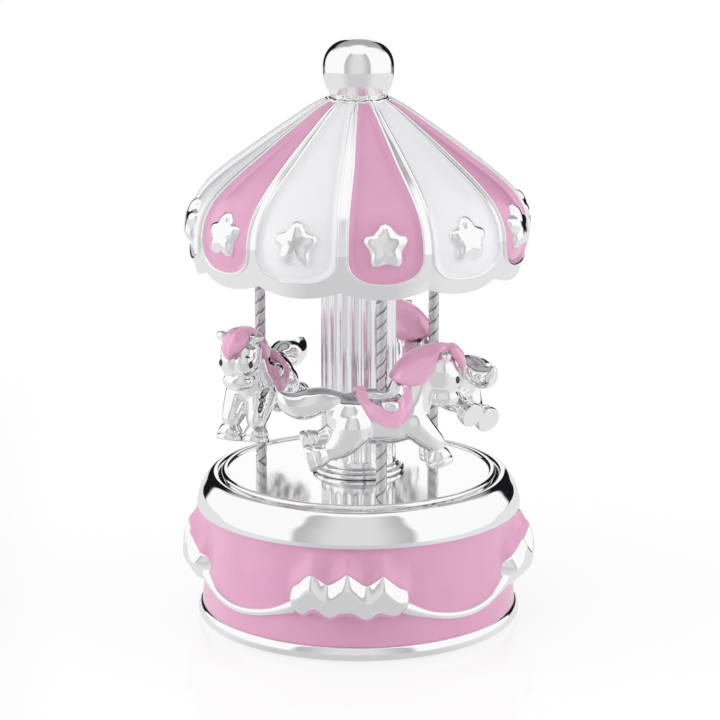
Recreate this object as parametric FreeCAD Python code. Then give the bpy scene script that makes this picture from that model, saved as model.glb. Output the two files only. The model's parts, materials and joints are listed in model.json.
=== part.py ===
import FreeCAD, Part
import math
import os
from FreeCAD import Vector as V

# Carousel music box: a wind-up musical movement in the base turns the ride on top of it.
# Units are millimetres, +Z is up, the object stands on z = 0 and the ride turns about Z.

# Base drum
FOOT_R = 47.3
FOOT_H = 4.75
FOOT_FLAT_R = 45.0
BAND_BOTTOM_R = 46.2
BAND_WAIST_R = 45.3
BAND_TOP_R = 46.5
BAND_TOP_Z = 33.3
ENAMEL_T = 0.6
RIM_R = 47.5
RIM_SHOULDER_R = 46.1
RIM_SHOULDER_Z = 38.9
RIM_CREST_R = 42.6
RIM_TOP_Z = 43.2
WELL_R = 40.9
DECK_TOP_Z = 38.1
DECK_T = 2.5
DRUM_BORE_R = 43.0
HUB_R = 8.0
HUB_H = 2.0
LEDGE_R = 40.4
LEDGE_H = 2.5

# Relief on the base
ORNAMENT_R = 52.3
ORNAMENT_Z = 20.6
ORNAMENT_HALF_W = 16.0
ORNAMENT_BULGE_R = 42.5
RIDGE_R = 50.4
RIDGE_SPREAD = 10.0
RIDGE_Z = 25.5
RIDGE_HALF_W = 3.2
RIDGE_HALF_H = 7.0
SWELL_R = 48.6
SWELL_HALF_W = 15.0
SWAG_END_Z = 19.5
SWAG_DROP = 8.0
SWAG_END_ROPE_R = 1.5
SWAG_MID_ROPE_R = 1.0
SWAG_HALF_ANGLE = 31.0

# Bottom plate and key
BOTTOM_Z = 8.0
BOTTOM_T = 2.0
BOTTOM_SCREW_CIRCLE = 41.7
BOTTOM_SCREW_R = 0.7
BOTTOM_HEAD_R = 1.2
BOTTOM_HEAD_H = 0.9
KEY_Z = 2.0
KEY_WING_R = 11.0
KEY_WING_H = 4.0
KEY_T = 1.6
KEY_HUB_R = 3.6
ARBOR_R = 2.0
ARBOR_TOP_Z = 19.6
ARBOR_HUB_R = 3.0

# Musical movement
BED_T = 2.5
BED_R = 39.8
BED_X0 = -14.5
BED_X1 = 37.6
BED_Y0 = -22.5
BED_Y1 = 14.5
BARREL_R = 12.0
BARREL_WALL = 0.8
BARREL_LIFT = 0.3
BARREL_FLOOR_T = 1.0
BARREL_LID_Z = 20.2
SPRING_T = 0.25
SPRING_TURNS = 8
CROWN_TEETH = 30
PINION_TEETH = 10
TRAIN_MODULE = 0.7
TRAIN_ADDENDUM = 0.5
TRAIN_ROOT = 0.85
TRAIN_TOOTH_T = 0.7
PINION_FACE = 1.8
CYLINDER_Z = 26.0
CYLINDER_R = 5.5
CYLINDER_X0 = 13.8
CYLINDER_L = 16.0
CYLINDER_ARBOR_R = 1.0
PIN_R = 0.2
PIN_H = 0.4
NOTES = 18
COMB_GAP = 0.15
COMB_T = 1.6
COMB_TOOTH_T = 0.6
COMB_BACK_Y = -22.0
COMB_ROOT_Y = -14.5
WHEEL_TEETH = 28
LEAF_TEETH = 8
WHEEL_MODULE = 0.5
WHEEL_TOOTH_T = 0.45
WHEEL_X = 31.5
WHEEL_T = 1.4
LEAF_ANGLE = -30.0
WORM_WHEEL_TEETH = 12
WORM_PITCH = 1.6
WORM_R = 1.4
WORM_DEPTH = 0.35
WORM_THREAD_T = 0.4
WORM_WHEEL_X = 33.8
WORM_WHEEL_T = 1.6
GOVERNOR_ARBOR_R = 0.6
FLY_R = 0.5
FAN_R = 3.0
FRAME_T = 1.2
SWING_GAP = 0.4
RUN_FIT = 0.05
SEAT_FIT = 0.02

# Ride
SPINDLE_R = 2.5
SPINDLE_COLLAR_R = 4.5
SPINDLE_COLLAR_H = 1.4
SPINDLE_NOSE_R = 2.0
BUSH_R = 5.0
TURNTABLE_R = 40.3
TURNTABLE_Z = 39.0
TURNTABLE_T = 2.0
MIRROR_R = 38.3
MIRROR_T = 2.2
BEZEL_LIP = 0.6
NUT_FLATS = 7.0
NUT_H = 6.6
PLINTH_R = 13.3
PLINTH_H = 3.0
COLUMN_R = 10.9
COLUMN_BORE_R = 5.0
FLUTES = 24
FLUTE_R = 1.15
FLUTE_DEPTH = 0.75
FLUTE_MARGIN = 2.6
CEILING_Z = 110.0
CEILING_T = 1.6
CEILING_R = 44.6
TIE_ROD_R = 2.0
POLES = 3
POLE_R = 1.55
POLE_CIRCLE = 30.3
POLE_FIRST_ANGLE = -74.5
POLE_NUT_FLATS = 5.5
POLE_NUT_H = 1.8
POLE_END = 0.8

# Canopy: radius and height along the lobed roof from the hem up to the neck
ROOF = [(46.3, 103.6), (47.2, 108.0), (48.0, 114.5), (47.8, 118.5), (46.6, 122.6), (43.4, 127.3),
        (37.6, 132.4), (31.0, 137.2), (24.6, 141.8), (18.2, 146.2), (12.8, 150.0), (9.4, 153.2)]
ROOF_WALL = 1.2
PETAL_T = 0.5
PETAL_RIM_T = 0.9
PETAL_RIM_W = 1.2
PETAL_FILL = 0.88
PETAL_ARCH_Z = 115.5
PETAL_FOOT_Z = 107.2
PETAL_TIP_Z = 150.6
GORES = 12
GORE_FIRST_ANGLE = -77.8
HEM_Z = 104.0
HEM_RISE = 1.9
STAR_Z = 119.0
STAR_R = 6.4
STAR_H = 1.7
STAR_TILT = 14.0
FINIAL_R = 10.2
FINIAL_NECK_R = 8.5
FINIAL_Z = 153.2
FINIAL_TOP_Z = 170.0
FINIAL_WIDE_Z = 162.0
BOSS_R = 12.0

# Derived heights
BED_Z = BOTTOM_Z + BOTTOM_T
BED_TOP = BED_Z + BED_T
BARREL_Z = BED_TOP + BARREL_LIFT
PINION_R = TRAIN_MODULE * PINION_TEETH / 2
CROWN_R = TRAIN_MODULE * CROWN_TEETH / 2
CROWN_Z = CYLINDER_Z - PINION_R
LID_TOP = CROWN_Z - TRAIN_ROOT
WHEEL_R = WHEEL_MODULE * WHEEL_TEETH / 2
LEAF_R = WHEEL_MODULE * LEAF_TEETH / 2
LEAF_Y = (WHEEL_R + LEAF_R) * math.cos(math.radians(LEAF_ANGLE))
LEAF_Z = CYLINDER_Z + (WHEEL_R + LEAF_R) * math.sin(math.radians(LEAF_ANGLE))
WORM_WHEEL_R = WORM_WHEEL_TEETH * WORM_PITCH / (2 * math.pi)
FLY_X = WORM_WHEEL_X + WORM_WHEEL_T / 2
FLY_Y = LEAF_Y + WORM_WHEEL_R + WORM_R
TURNTABLE_TOP = TURNTABLE_Z + TURNTABLE_T
MIRROR_TOP = TURNTABLE_TOP + MIRROR_T
COLUMN_Z = MIRROR_TOP + PLINTH_H
CEILING_TOP = CEILING_Z + CEILING_T
POLE_TOP = CEILING_TOP + POLE_NUT_H + POLE_END
AXIS = V(0, 0, 1)

os.makedirs("parts", exist_ok=True)


def save(shape, name):
    shape.exportStep("parts/" + name + ".step")


def rod(radius, z0, z1, x=0.0, y=0.0):
    return Part.makeCylinder(radius, z1 - z0, V(x, y, z0))


def rod_x(radius, x0, x1, y, z):
    return Part.makeCylinder(radius, x1 - x0, V(x0, y, z), V(1, 0, 0))


def ring(outer, inner, z0, z1):
    return rod(outer, z0, z1).cut(rod(inner, z0 - 1, z1 + 1))


def block(x0, x1, y0, y1, z0, z1):
    return Part.makeBox(x1 - x0, y1 - y0, z1 - z0, V(x0, y0, z0))


def spun(shape, angle):
    copy = shape.copy()
    copy.rotate(V(0, 0, 0), AXIS, angle)
    return copy


def line(a, b):
    return Part.LineSegment(V(a[0], 0, a[1]), V(b[0], 0, b[1])).toShape()


def arc(a, b, c):
    return Part.Arc(V(a[0], 0, a[1]), V(b[0], 0, b[1]), V(c[0], 0, c[1])).toShape()


def spline(points):
    curve = Part.BSplineCurve()
    curve.interpolate([V(r, 0, z) for r, z in points])
    return curve.toShape()


def lines(points):
    return [line(a, b) for a, b in zip(points, points[1:])]


def turned(edges):
    return Part.Face(Part.Wire(edges)).revolve(V(0, 0, 0), AXIS, 360)


def hexagon(flats, z0, z1, x=0.0, y=0.0):
    r = flats / math.sqrt(3)
    corners = [V(x + r * math.cos(math.radians(60 * k)), y + r * math.sin(math.radians(60 * k)), z0)
               for k in range(7)]
    return Part.Face(Part.makePolygon(corners)).extrude(V(0, 0, z1 - z0))


def ellipsoid(centre, axes, tilt=0.0):
    ball = spun(Part.makeSphere(1.0), 180)
    matrix = FreeCAD.Matrix()
    matrix.scale(*axes)
    body = ball.transformGeometry(matrix)
    body.rotate(V(0, 0, 0), V(0, 1, 0), tilt)
    body.translate(V(*centre))
    return body


def limb(stations):
    """A round limb through stations of centre, radius and direction."""
    rings = [Part.Wire(Part.Circle(V(*c), V(*d), r).toShape()) for c, r, d in stations]
    return Part.makeLoft(rings, True)


# Base drum
half_band = [(BAND_BOTTOM_R, FOOT_H),
             (BAND_WAIST_R, 0.55 * (FOOT_H + BAND_TOP_Z)),
             (BAND_TOP_R, BAND_TOP_Z)]
bed_of_band = [(r - ENAMEL_T, z) for r, z in half_band]
deck_z = DECK_TOP_Z - DECK_T
ledge_z = BED_Z
drum_inside = [(WELL_R, RIM_TOP_Z - 0.8), (WELL_R, DECK_TOP_Z), (BUSH_R, DECK_TOP_Z),
               (BUSH_R, deck_z - HUB_H), (HUB_R, deck_z - HUB_H), (HUB_R, deck_z), (DRUM_BORE_R, deck_z),
               (DRUM_BORE_R, ledge_z + LEDGE_H), (LEDGE_R, ledge_z + LEDGE_H), (LEDGE_R, ledge_z),
               (DRUM_BORE_R, ledge_z), (DRUM_BORE_R, 0), (FOOT_FLAT_R, 0)]
drum = turned([arc((FOOT_FLAT_R, 0), (FOOT_R, FOOT_H / 2), (bed_of_band[0][0], FOOT_H)),
               arc(*bed_of_band),
               line(bed_of_band[2], (RIM_R, BAND_TOP_Z)),
               arc((RIM_R, BAND_TOP_Z), (RIM_SHOULDER_R, RIM_SHOULDER_Z), (RIM_CREST_R, RIM_TOP_Z)),
               arc((RIM_CREST_R, RIM_TOP_Z), (0.5 * (RIM_CREST_R + WELL_R), RIM_TOP_Z - 0.1),
                   drum_inside[0])]
              + lines(drum_inside))

# Leaf ornaments: a puffed cushion cut to a spiky leaf outline
leaf_half = [(0.0, 28.2), (2.6, 24.4), (5.6, 25.2), (9.6, 28.0), (10.0, 24.2), (ORNAMENT_HALF_W, 22.3),
             (12.6, 18.8), (13.6, 15.6), (9.8, 16.0), (7.4, 13.8), (3.8, 15.2), (0.0, 13.4)]
leaf = leaf_half + [(-t, z) for t, z in reversed(leaf_half[1:-1])]
leaf_wire = Part.makePolygon([V(ORNAMENT_BULGE_R, t, z) for t, z in leaf + leaf[:1]])
leaf_prism = Part.Face(leaf_wire).extrude(V(ORNAMENT_R, 0, 0))
cushion = ellipsoid((ORNAMENT_BULGE_R, 0, ORNAMENT_Z), (ORNAMENT_R - ORNAMENT_BULGE_R, 19.0, 11.5))
ornament = cushion.common(leaf_prism)
ornaments = [spun(ornament, 90 * k) for k in range(4)]


def swag_station(k, steps):
    s = -1 + 2 * k / steps
    a = math.radians(45 + SWAG_HALF_ANGLE * s)
    z = SWAG_END_Z - SWAG_DROP * (1 - s * s)
    rope = SWAG_MID_ROPE_R + (SWAG_END_ROPE_R - SWAG_MID_ROPE_R) * s * s
    slope = 2 * SWAG_DROP * s / (BAND_WAIST_R * math.radians(SWAG_HALF_ANGLE))
    return ((BAND_WAIST_R * math.cos(a), BAND_WAIST_R * math.sin(a), z), rope,
            (-math.sin(a), math.cos(a), slope))


swag = limb([swag_station(k, 10) for k in range(11)])
swags = [spun(swag, 90 * k) for k in range(4)]
relief = ornaments[0].multiFuse(ornaments[1:] + swags)
lining = rod(DRUM_BORE_R, FOOT_H, BAND_TOP_Z)
base_drum = drum.fuse(relief.cut(lining)).removeSplitter()
screw_spots = [(BOTTOM_SCREW_CIRCLE * math.cos(math.radians(45 + 90 * k)),
                BOTTOM_SCREW_CIRCLE * math.sin(math.radians(45 + 90 * k))) for k in range(4)]
for x, y in screw_spots:
    base_drum = base_drum.cut(rod(BOTTOM_SCREW_R + SEAT_FIT, ledge_z - 1, ledge_z + 2.0, x, y))
save(base_drum, "base_drum")

# Pink enamel in the band, swelling up to each ornament with a ridge above each peak
band = turned([line(bed_of_band[0], half_band[0]), arc(*half_band),
               line(half_band[2], bed_of_band[2]), arc(*reversed(bed_of_band))])
ridge_spots = [(-RIDGE_SPREAD, 0.96), (0.0, 1.0), (RIDGE_SPREAD, 0.96)]
swell = [ellipsoid((BAND_WAIST_R, t, RIDGE_Z), (RIDGE_R * k - BAND_WAIST_R, RIDGE_HALF_W, RIDGE_HALF_H))
         for t, k in ridge_spots]
swell.append(ellipsoid((BAND_WAIST_R, 0, RIDGE_Z), (SWELL_R - BAND_WAIST_R, SWELL_HALF_W, RIDGE_HALF_H)))
swell_group = swell[0].multiFuse(swell[1:])
all_swells = [spun(swell_group, 90 * k) for k in range(4)]
base_enamel = band.multiFuse(all_swells).cut(base_drum).cut(rod(DRUM_BORE_R + 1.5, 0, BAND_TOP_Z))
save(base_enamel, "base_enamel")

# Bottom plate with its screws
bottom_plate = rod(DRUM_BORE_R - 0.1, BOTTOM_Z, BED_Z).cut(rod(ARBOR_R + RUN_FIT, 0, 20))
bed_screw_spots = [(-10.5, -16.0), (-8.0, 11.5), (22.0, 10.5)]
for x, y in screw_spots:
    bottom_plate = bottom_plate.cut(rod(BOTTOM_SCREW_R + SEAT_FIT, 0, 20, x, y))
for x, y in bed_screw_spots:
    bottom_plate = bottom_plate.cut(rod(BOTTOM_SCREW_R + SEAT_FIT, 0, 20, x, y))
save(bottom_plate, "bottom_plate")


def screw_up(x, y, z_head, length):
    head = rod(BOTTOM_HEAD_R, z_head - BOTTOM_HEAD_H, z_head, x, y)
    slot = block(x - 2, x + 2, y - 0.15, y + 0.15, z_head - BOTTOM_HEAD_H, z_head - BOTTOM_HEAD_H + 0.35)
    return head.cut(slot).fuse(rod(BOTTOM_SCREW_R, z_head, z_head + length, x, y)).removeSplitter()


save(Part.makeCompound([screw_up(x, y, BOTTOM_Z, BOTTOM_T + 1.8) for x, y in screw_spots]),
     "bottom_plate_screws")
save(Part.makeCompound([screw_up(x, y, BOTTOM_Z, BOTTOM_T + 1.8) for x, y in bed_screw_spots]),
     "movement_screws")

# Winding arbor and butterfly key
arbor = rod(ARBOR_R, KEY_Z, ARBOR_TOP_Z)
arbor = arbor.fuse(rod(ARBOR_HUB_R, BARREL_Z + BARREL_FLOOR_T + 0.1, ARBOR_TOP_Z))
save(arbor.removeSplitter(), "winding_arbor")
wing_spot = V(KEY_WING_R - 3, -KEY_T / 2, KEY_Z + 2.0)
wing = Part.makeCylinder(KEY_WING_H / 2 + 0.8, KEY_T, wing_spot, V(0, 1, 0))
wing = wing.fuse(block(0, KEY_WING_R - 3, -KEY_T / 2, KEY_T / 2, KEY_Z + 0.6, KEY_Z + 3.4))
wing = wing.cut(Part.makeCylinder(1.2, 4, V(KEY_WING_R - 3, -2, KEY_Z + 2.0), V(0, 1, 0)))
key = rod(KEY_HUB_R, KEY_Z - 0.5, KEY_Z + 4.6).multiFuse([wing, spun(wing, 180)])
save(key.cut(rod(ARBOR_R, KEY_Z, 20)).removeSplitter(), "winding_key")

# Movement bedplate with the comb platform
bed = block(BED_X0, BED_X1, BED_Y0, BED_Y1, BED_Z, BED_TOP).common(rod(BED_R, BED_Z, BED_TOP))
comb_x0 = CYLINDER_X0 + 0.3
comb_x1 = CYLINDER_X0 + CYLINDER_L - 0.3
comb_z = CYLINDER_Z - COMB_T / 2
platform = block(comb_x0, comb_x1, COMB_BACK_Y, COMB_ROOT_Y, BED_TOP, comb_z)
bed = bed.fuse(platform).cut(rod(ARBOR_R + RUN_FIT, 0, 20))
for x, y in bed_screw_spots:
    bed = bed.cut(rod(BOTTOM_SCREW_R + SEAT_FIT, BED_Z - 1, BED_Z + 2.0, x, y))
comb_screw_spots = [(comb_x0 + 3.5, -18.5), (comb_x1 - 3.5, -18.5)]
for x, y in comb_screw_spots:
    bed = bed.cut(rod(BOTTOM_SCREW_R + SEAT_FIT, comb_z - 4, comb_z + 1, x, y))
save(bed.removeSplitter(), "movement_bedplate")

# Comb: a slotted steel plate whose tips stand just clear of the pins
tip_y = -(CYLINDER_R + PIN_H + COMB_GAP)
comb = block(comb_x0, comb_x1, COMB_BACK_Y, COMB_ROOT_Y, comb_z, comb_z + COMB_T)
pitch = (comb_x1 - comb_x0) / NOTES
tooth_x = [comb_x0 + (k + 0.5) * pitch for k in range(NOTES)]
comb = comb.multiFuse([block(x - COMB_TOOTH_T / 2, x + COMB_TOOTH_T / 2, COMB_ROOT_Y - 0.5, tip_y,
                             CYLINDER_Z - 0.25, CYLINDER_Z + 0.25) for x in tooth_x])
for x, y in comb_screw_spots:
    comb = comb.cut(rod(BOTTOM_SCREW_R + SEAT_FIT, 0, 40, x, y))
save(comb.removeSplitter(), "comb")
comb_top = comb_z + COMB_T
comb_screws = [rod(1.4, comb_top, comb_top + 1.2, x, y).fuse(
    rod(BOTTOM_SCREW_R, comb_top - COMB_T - 3.5, comb_top, x, y)).removeSplitter()
    for x, y in comb_screw_spots]
save(Part.makeCompound(comb_screws), "comb_screws")

# Spring barrel: cup and lid with crown teeth on the lid
cup = rod(BARREL_R, BARREL_Z, LID_TOP)
cavity_r = BARREL_R - BARREL_WALL
cup = cup.cut(rod(cavity_r, BARREL_Z + BARREL_FLOOR_T, BARREL_LID_Z))
cup = cup.cut(rod(ARBOR_R + RUN_FIT, 0, BARREL_LID_Z)).cut(rod(SPINDLE_R + SEAT_FIT, BARREL_LID_Z - 1, 40))
crown = ring(BARREL_R, CROWN_R - 1.3, LID_TOP, CROWN_Z + TRAIN_ADDENDUM)
gap_half = (CROWN_R * 2 * math.pi / CROWN_TEETH - TRAIN_TOOTH_T) / 2
gap_face = Part.Face(Part.makePolygon([
    V(0, -gap_half + 0.1, LID_TOP), V(0, gap_half - 0.1, LID_TOP),
    V(0, gap_half + 0.15, CROWN_Z + TRAIN_ADDENDUM + 0.1),
    V(0, -gap_half - 0.15, CROWN_Z + TRAIN_ADDENDUM + 0.1), V(0, -gap_half + 0.1, LID_TOP)]))
gap = gap_face.extrude(V(BARREL_R + 1, 0, 0))
crown = crown.cut(Part.makeCompound([spun(gap, 360 * k / CROWN_TEETH) for k in range(CROWN_TEETH)]))
save(cup.fuse(crown).removeSplitter(), "spring_barrel")

# Mainspring: a flat strip wound from the arbor hub out to the barrel wall
spring_in = ARBOR_HUB_R + 0.3
spring_out = cavity_r - SPRING_T - SEAT_FIT


def spring_edge(offset):
    points = []
    for k in range(SPRING_TURNS * 12 + 1):
        a = 2 * math.pi * k / 12
        r = spring_in + offset + (spring_out - spring_in) * k / (SPRING_TURNS * 12)
        points.append(V(r * math.cos(a), r * math.sin(a), BARREL_Z + BARREL_FLOOR_T + 0.2))
    curve = Part.BSplineCurve()
    curve.interpolate(points)
    return curve


inner_edge = spring_edge(0)
outer_edge = spring_edge(SPRING_T)
strip = Part.Wire([inner_edge.toShape(),
                   Part.LineSegment(inner_edge.EndPoint, outer_edge.EndPoint).toShape(),
                   outer_edge.toShape(),
                   Part.LineSegment(outer_edge.StartPoint, inner_edge.StartPoint).toShape()])
save(Part.Face(strip).extrude(V(0, 0, ARBOR_TOP_Z - BARREL_Z - BARREL_FLOOR_T - 0.2)), "mainspring")


def gear_x(teeth, r, addendum, root, tooth_t, x0, width, y, z, phase, bore):
    """A spur gear on an axis along X; phase is the direction of one tooth from +Y towards +Z."""
    points = []
    for k in range(teeth):
        mid = math.radians(phase) + 2 * math.pi * k / teeth
        for radius, half in ((r - root, tooth_t * 0.62), (r + addendum, tooth_t * 0.34),
                             (r + addendum, -tooth_t * 0.34), (r - root, -tooth_t * 0.62)):
            a = mid - half / radius
            points.append(V(x0, y + radius * math.cos(a), z + radius * math.sin(a)))
    body = Part.Face(Part.makePolygon(points + points[:1])).extrude(V(width, 0, 0))
    return body.cut(rod_x(bore, x0 - 1, x0 + width + 1, y, z))


# Cylinder group on one arbor
arbor_x0 = CROWN_R - PINION_FACE / 2 - 0.6
frame_x = WORM_WHEEL_X + WORM_WHEEL_T + 0.8
save(rod_x(CYLINDER_ARBOR_R, arbor_x0, frame_x + FRAME_T, 0, CYLINDER_Z), "cylinder_arbor")
pinion = gear_x(PINION_TEETH, PINION_R, TRAIN_ADDENDUM, TRAIN_ROOT, TRAIN_TOOTH_T,
                CROWN_R - PINION_FACE / 2, PINION_FACE, 0, CYLINDER_Z, -90, CYLINDER_ARBOR_R)
save(pinion, "cylinder_pinion")
save(gear_x(WHEEL_TEETH, WHEEL_R, 0.4, 0.65, WHEEL_TOOTH_T, WHEEL_X, WHEEL_T, 0, CYLINDER_Z,
            LEAF_ANGLE, CYLINDER_ARBOR_R), "cylinder_wheel")
barrel = rod_x(CYLINDER_R, CYLINDER_X0, CYLINDER_X0 + CYLINDER_L, 0, CYLINDER_Z)
pins = []
for k in range(NOTES * 2):
    a = math.radians(137.5 * k + 20)
    x = comb_x0 + (k % NOTES + 0.5) * pitch
    pins.append(Part.makeCylinder(PIN_R, PIN_H + 1, V(x, (CYLINDER_R - 1) * math.cos(a),
                                                      CYLINDER_Z + (CYLINDER_R - 1) * math.sin(a)),
                                  V(0, math.cos(a), math.sin(a))))
barrel = barrel.multiFuse(pins).cut(rod_x(CYLINDER_ARBOR_R, 0, 50, 0, CYLINDER_Z))
save(barrel, "cylinder")

# Bracket that carries the inner end of the cylinder arbor
bracket_x = CROWN_R + PINION_FACE / 2 + 0.4
bracket = block(bracket_x, bracket_x + 1.4, -3, 3, BED_TOP, CYLINDER_Z + 2.5)
foot_part = block(bracket_x, bracket_x + 1.4, -6, 6, BED_TOP, BED_TOP + 2)
bracket = bracket.fuse(foot_part).cut(rod_x(CYLINDER_ARBOR_R + RUN_FIT, 0, 30, 0, CYLINDER_Z))
bracket = bracket.cut(rod(BARREL_R + SWING_GAP, BED_TOP, CROWN_Z + TRAIN_ADDENDUM + SWING_GAP))
save(bracket.removeSplitter(), "cylinder_bracket")

# Governor frame: foot, two cheeks and the top bearing arm of the fly
frame_y1 = FLY_Y + 1.6
cheek_x = WHEEL_X - 1.3
worm_z0 = BED_TOP + 4.2
worm_z1 = LEAF_Z + 4.0
arm_z = worm_z1 + 0.7
fan_z = arm_z + 1.5
frame = block(cheek_x, frame_x + FRAME_T, 5.4, frame_y1, BED_TOP, BED_TOP + 2)
frame = frame.fuse(block(frame_x, frame_x + FRAME_T, -2.6, frame_y1, BED_TOP, CYLINDER_Z + 2.5))
frame = frame.fuse(block(cheek_x, cheek_x + 0.8, LEAF_Y - 1.5, LEAF_Y + 2.5, BED_TOP, LEAF_Z + 2))
frame = frame.fuse(block(FLY_X - 1.5, frame_x + 0.5, FLY_Y - 1.4, frame_y1, arm_z, arm_z + 1))
frame = frame.cut(rod_x(CYLINDER_ARBOR_R + RUN_FIT, 30, 50, 0, CYLINDER_Z))
frame = frame.cut(rod_x(GOVERNOR_ARBOR_R + RUN_FIT, 20, 50, LEAF_Y, LEAF_Z))
frame = frame.cut(rod(FLY_R + RUN_FIT, BED_TOP + 0.6, 50, FLY_X, FLY_Y))
worm_crest = WORM_R + WORM_DEPTH
frame = frame.cut(rod(worm_crest + SWING_GAP, worm_z0 - SWING_GAP, worm_z1 + SWING_GAP, FLY_X, FLY_Y))
frame = frame.cut(rod(FAN_R + SWING_GAP, fan_z - SWING_GAP, deck_z, FLY_X, FLY_Y))
save(frame.removeSplitter(), "governor_frame")

# Governor wheel: leaf pinion and worm wheel on one arbor
save(rod_x(GOVERNOR_ARBOR_R, cheek_x, frame_x + FRAME_T, LEAF_Y, LEAF_Z), "governor_arbor")
leaf_pinion = gear_x(LEAF_TEETH, LEAF_R, 0.45, 0.6, WHEEL_TOOTH_T, WHEEL_X - 0.2, WHEEL_T + 0.4,
                     LEAF_Y, LEAF_Z, LEAF_ANGLE + 180 + 180 / LEAF_TEETH, GOVERNOR_ARBOR_R)
worm_wheel = gear_x(WORM_WHEEL_TEETH, WORM_WHEEL_R, WORM_DEPTH, 0.6, 0.5, WORM_WHEEL_X, WORM_WHEEL_T,
                    LEAF_Y, LEAF_Z, 180 / WORM_WHEEL_TEETH, GOVERNOR_ARBOR_R)
neck = rod_x(1.0, WHEEL_X + WHEEL_T, WORM_WHEEL_X, LEAF_Y, LEAF_Z).cut(
    rod_x(GOVERNOR_ARBOR_R, 20, 50, LEAF_Y, LEAF_Z))
save(leaf_pinion.multiFuse([neck, worm_wheel]).removeSplitter(), "governor_wheel")

# Fly: a one-start worm with a two-blade fan
turns = math.floor((worm_z1 - worm_z0) / WORM_PITCH) - 1
helix_z = LEAF_Z - 0.75 * WORM_PITCH - WORM_PITCH * math.floor(turns / 2)
worm_root = WORM_R - WORM_DEPTH - 0.2
helix = Part.makeHelix(WORM_PITCH, WORM_PITCH * turns, WORM_R)
flank = [(worm_root - 0.2, -0.7), (worm_crest, -0.3), (worm_crest, 0.3), (worm_root - 0.2, 0.7)]
tooth = Part.makePolygon([V(r, 0, k * WORM_THREAD_T) for r, k in flank + flank[:1]])
thread = Part.Wire(helix.Edges).makePipeShell([tooth], True, True)
thread.translate(V(FLY_X, FLY_Y, helix_z))
worm = rod(worm_root, worm_z0, worm_z1, FLY_X, FLY_Y).fuse(thread)
fan_top = deck_z - 1.6
worm = worm.fuse(rod(FLY_R, BED_TOP + 0.7, fan_top, FLY_X, FLY_Y))
save(worm.removeSplitter(), "governor_worm")
fan = block(FLY_X - FAN_R, FLY_X + FAN_R, FLY_Y - 0.2, FLY_Y + 0.2, fan_z, fan_top)
fan = fan.fuse(rod(1.0, fan_z, fan_top, FLY_X, FLY_Y)).cut(rod(FLY_R, 0, 60, FLY_X, FLY_Y))
save(fan.removeSplitter(), "governor_fan")

# Spindle and its bush
bush = ring(BUSH_R - SEAT_FIT, SPINDLE_R + RUN_FIT, deck_z - HUB_H, DECK_TOP_Z)
save(bush, "spindle_bush")
nut_mid = TURNTABLE_TOP + NUT_H / 2
spindle = rod(SPINDLE_R, BARREL_LID_Z, TURNTABLE_Z)
spindle = spindle.fuse(rod(SPINDLE_COLLAR_R, LID_TOP, LID_TOP + SPINDLE_COLLAR_H))
spindle = spindle.fuse(rod(SPINDLE_NOSE_R, TURNTABLE_Z, nut_mid))
save(spindle.removeSplitter(), "spindle")

# Turntable, mirror floor and bezel
pole_spots = [(POLE_CIRCLE * math.cos(math.radians(POLE_FIRST_ANGLE + 360 * k / POLES)),
               POLE_CIRCLE * math.sin(math.radians(POLE_FIRST_ANGLE + 360 * k / POLES)))
              for k in range(POLES)]
turntable = rod(TURNTABLE_R, TURNTABLE_Z, TURNTABLE_TOP).cut(rod(SPINDLE_NOSE_R + SEAT_FIT, 30, 50))
save(turntable, "turntable")
mirror = ring(MIRROR_R, COLUMN_BORE_R, TURNTABLE_TOP, MIRROR_TOP)
for x, y in pole_spots:
    mirror = mirror.cut(rod(POLE_R + SEAT_FIT, 30, 60, x, y))
save(mirror, "mirror_disc")
bezel_in = MIRROR_R + SEAT_FIT
bezel = turned([line((bezel_in, TURNTABLE_TOP), (TURNTABLE_R, TURNTABLE_TOP)),
                line((TURNTABLE_R, TURNTABLE_TOP), (TURNTABLE_R, MIRROR_TOP - 0.3)),
                arc((TURNTABLE_R, MIRROR_TOP - 0.3),
                    (0.5 * (bezel_in + TURNTABLE_R), MIRROR_TOP + BEZEL_LIP),
                    (bezel_in, MIRROR_TOP)),
                line((bezel_in, MIRROR_TOP), (bezel_in, TURNTABLE_TOP))])
save(bezel, "mirror_bezel")
coupling = hexagon(NUT_FLATS, TURNTABLE_TOP, TURNTABLE_TOP + NUT_H)
save(coupling.cut(rod(SPINDLE_NOSE_R + SEAT_FIT, 30, 60)), "coupling_nut")

# Column plinth and fluted column
bead_r = PLINTH_H * 0.36
plinth = turned([line((COLUMN_BORE_R, MIRROR_TOP), (PLINTH_R - bead_r, MIRROR_TOP)),
                 arc((PLINTH_R - bead_r, MIRROR_TOP), (PLINTH_R, MIRROR_TOP + bead_r),
                     (PLINTH_R - bead_r, MIRROR_TOP + 2 * bead_r)),
                 arc((PLINTH_R - bead_r, MIRROR_TOP + 2 * bead_r),
                     (COLUMN_R + 0.4, MIRROR_TOP + 0.8 * PLINTH_H),
                     (COLUMN_R, COLUMN_Z)),
                 line((COLUMN_R, COLUMN_Z), (COLUMN_BORE_R, COLUMN_Z)),
                 line((COLUMN_BORE_R, COLUMN_Z), (COLUMN_BORE_R, MIRROR_TOP))])
save(plinth, "column_plinth")
flute_circle = COLUMN_R + FLUTE_R - FLUTE_DEPTH
flute_z0 = COLUMN_Z + FLUTE_MARGIN
flute = rod(FLUTE_R, flute_z0, CEILING_Z - FLUTE_MARGIN, flute_circle, 0)
flute = flute.fuse(Part.makeSphere(FLUTE_R, V(flute_circle, 0, flute_z0)))
flute = flute.fuse(Part.makeSphere(FLUTE_R, V(flute_circle, 0, CEILING_Z - FLUTE_MARGIN)))
column = ring(COLUMN_R, COLUMN_BORE_R, COLUMN_Z, CEILING_Z)
save(column.cut(Part.makeCompound([spun(flute, 360 * k / FLUTES) for k in range(FLUTES)])), "column")

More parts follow.
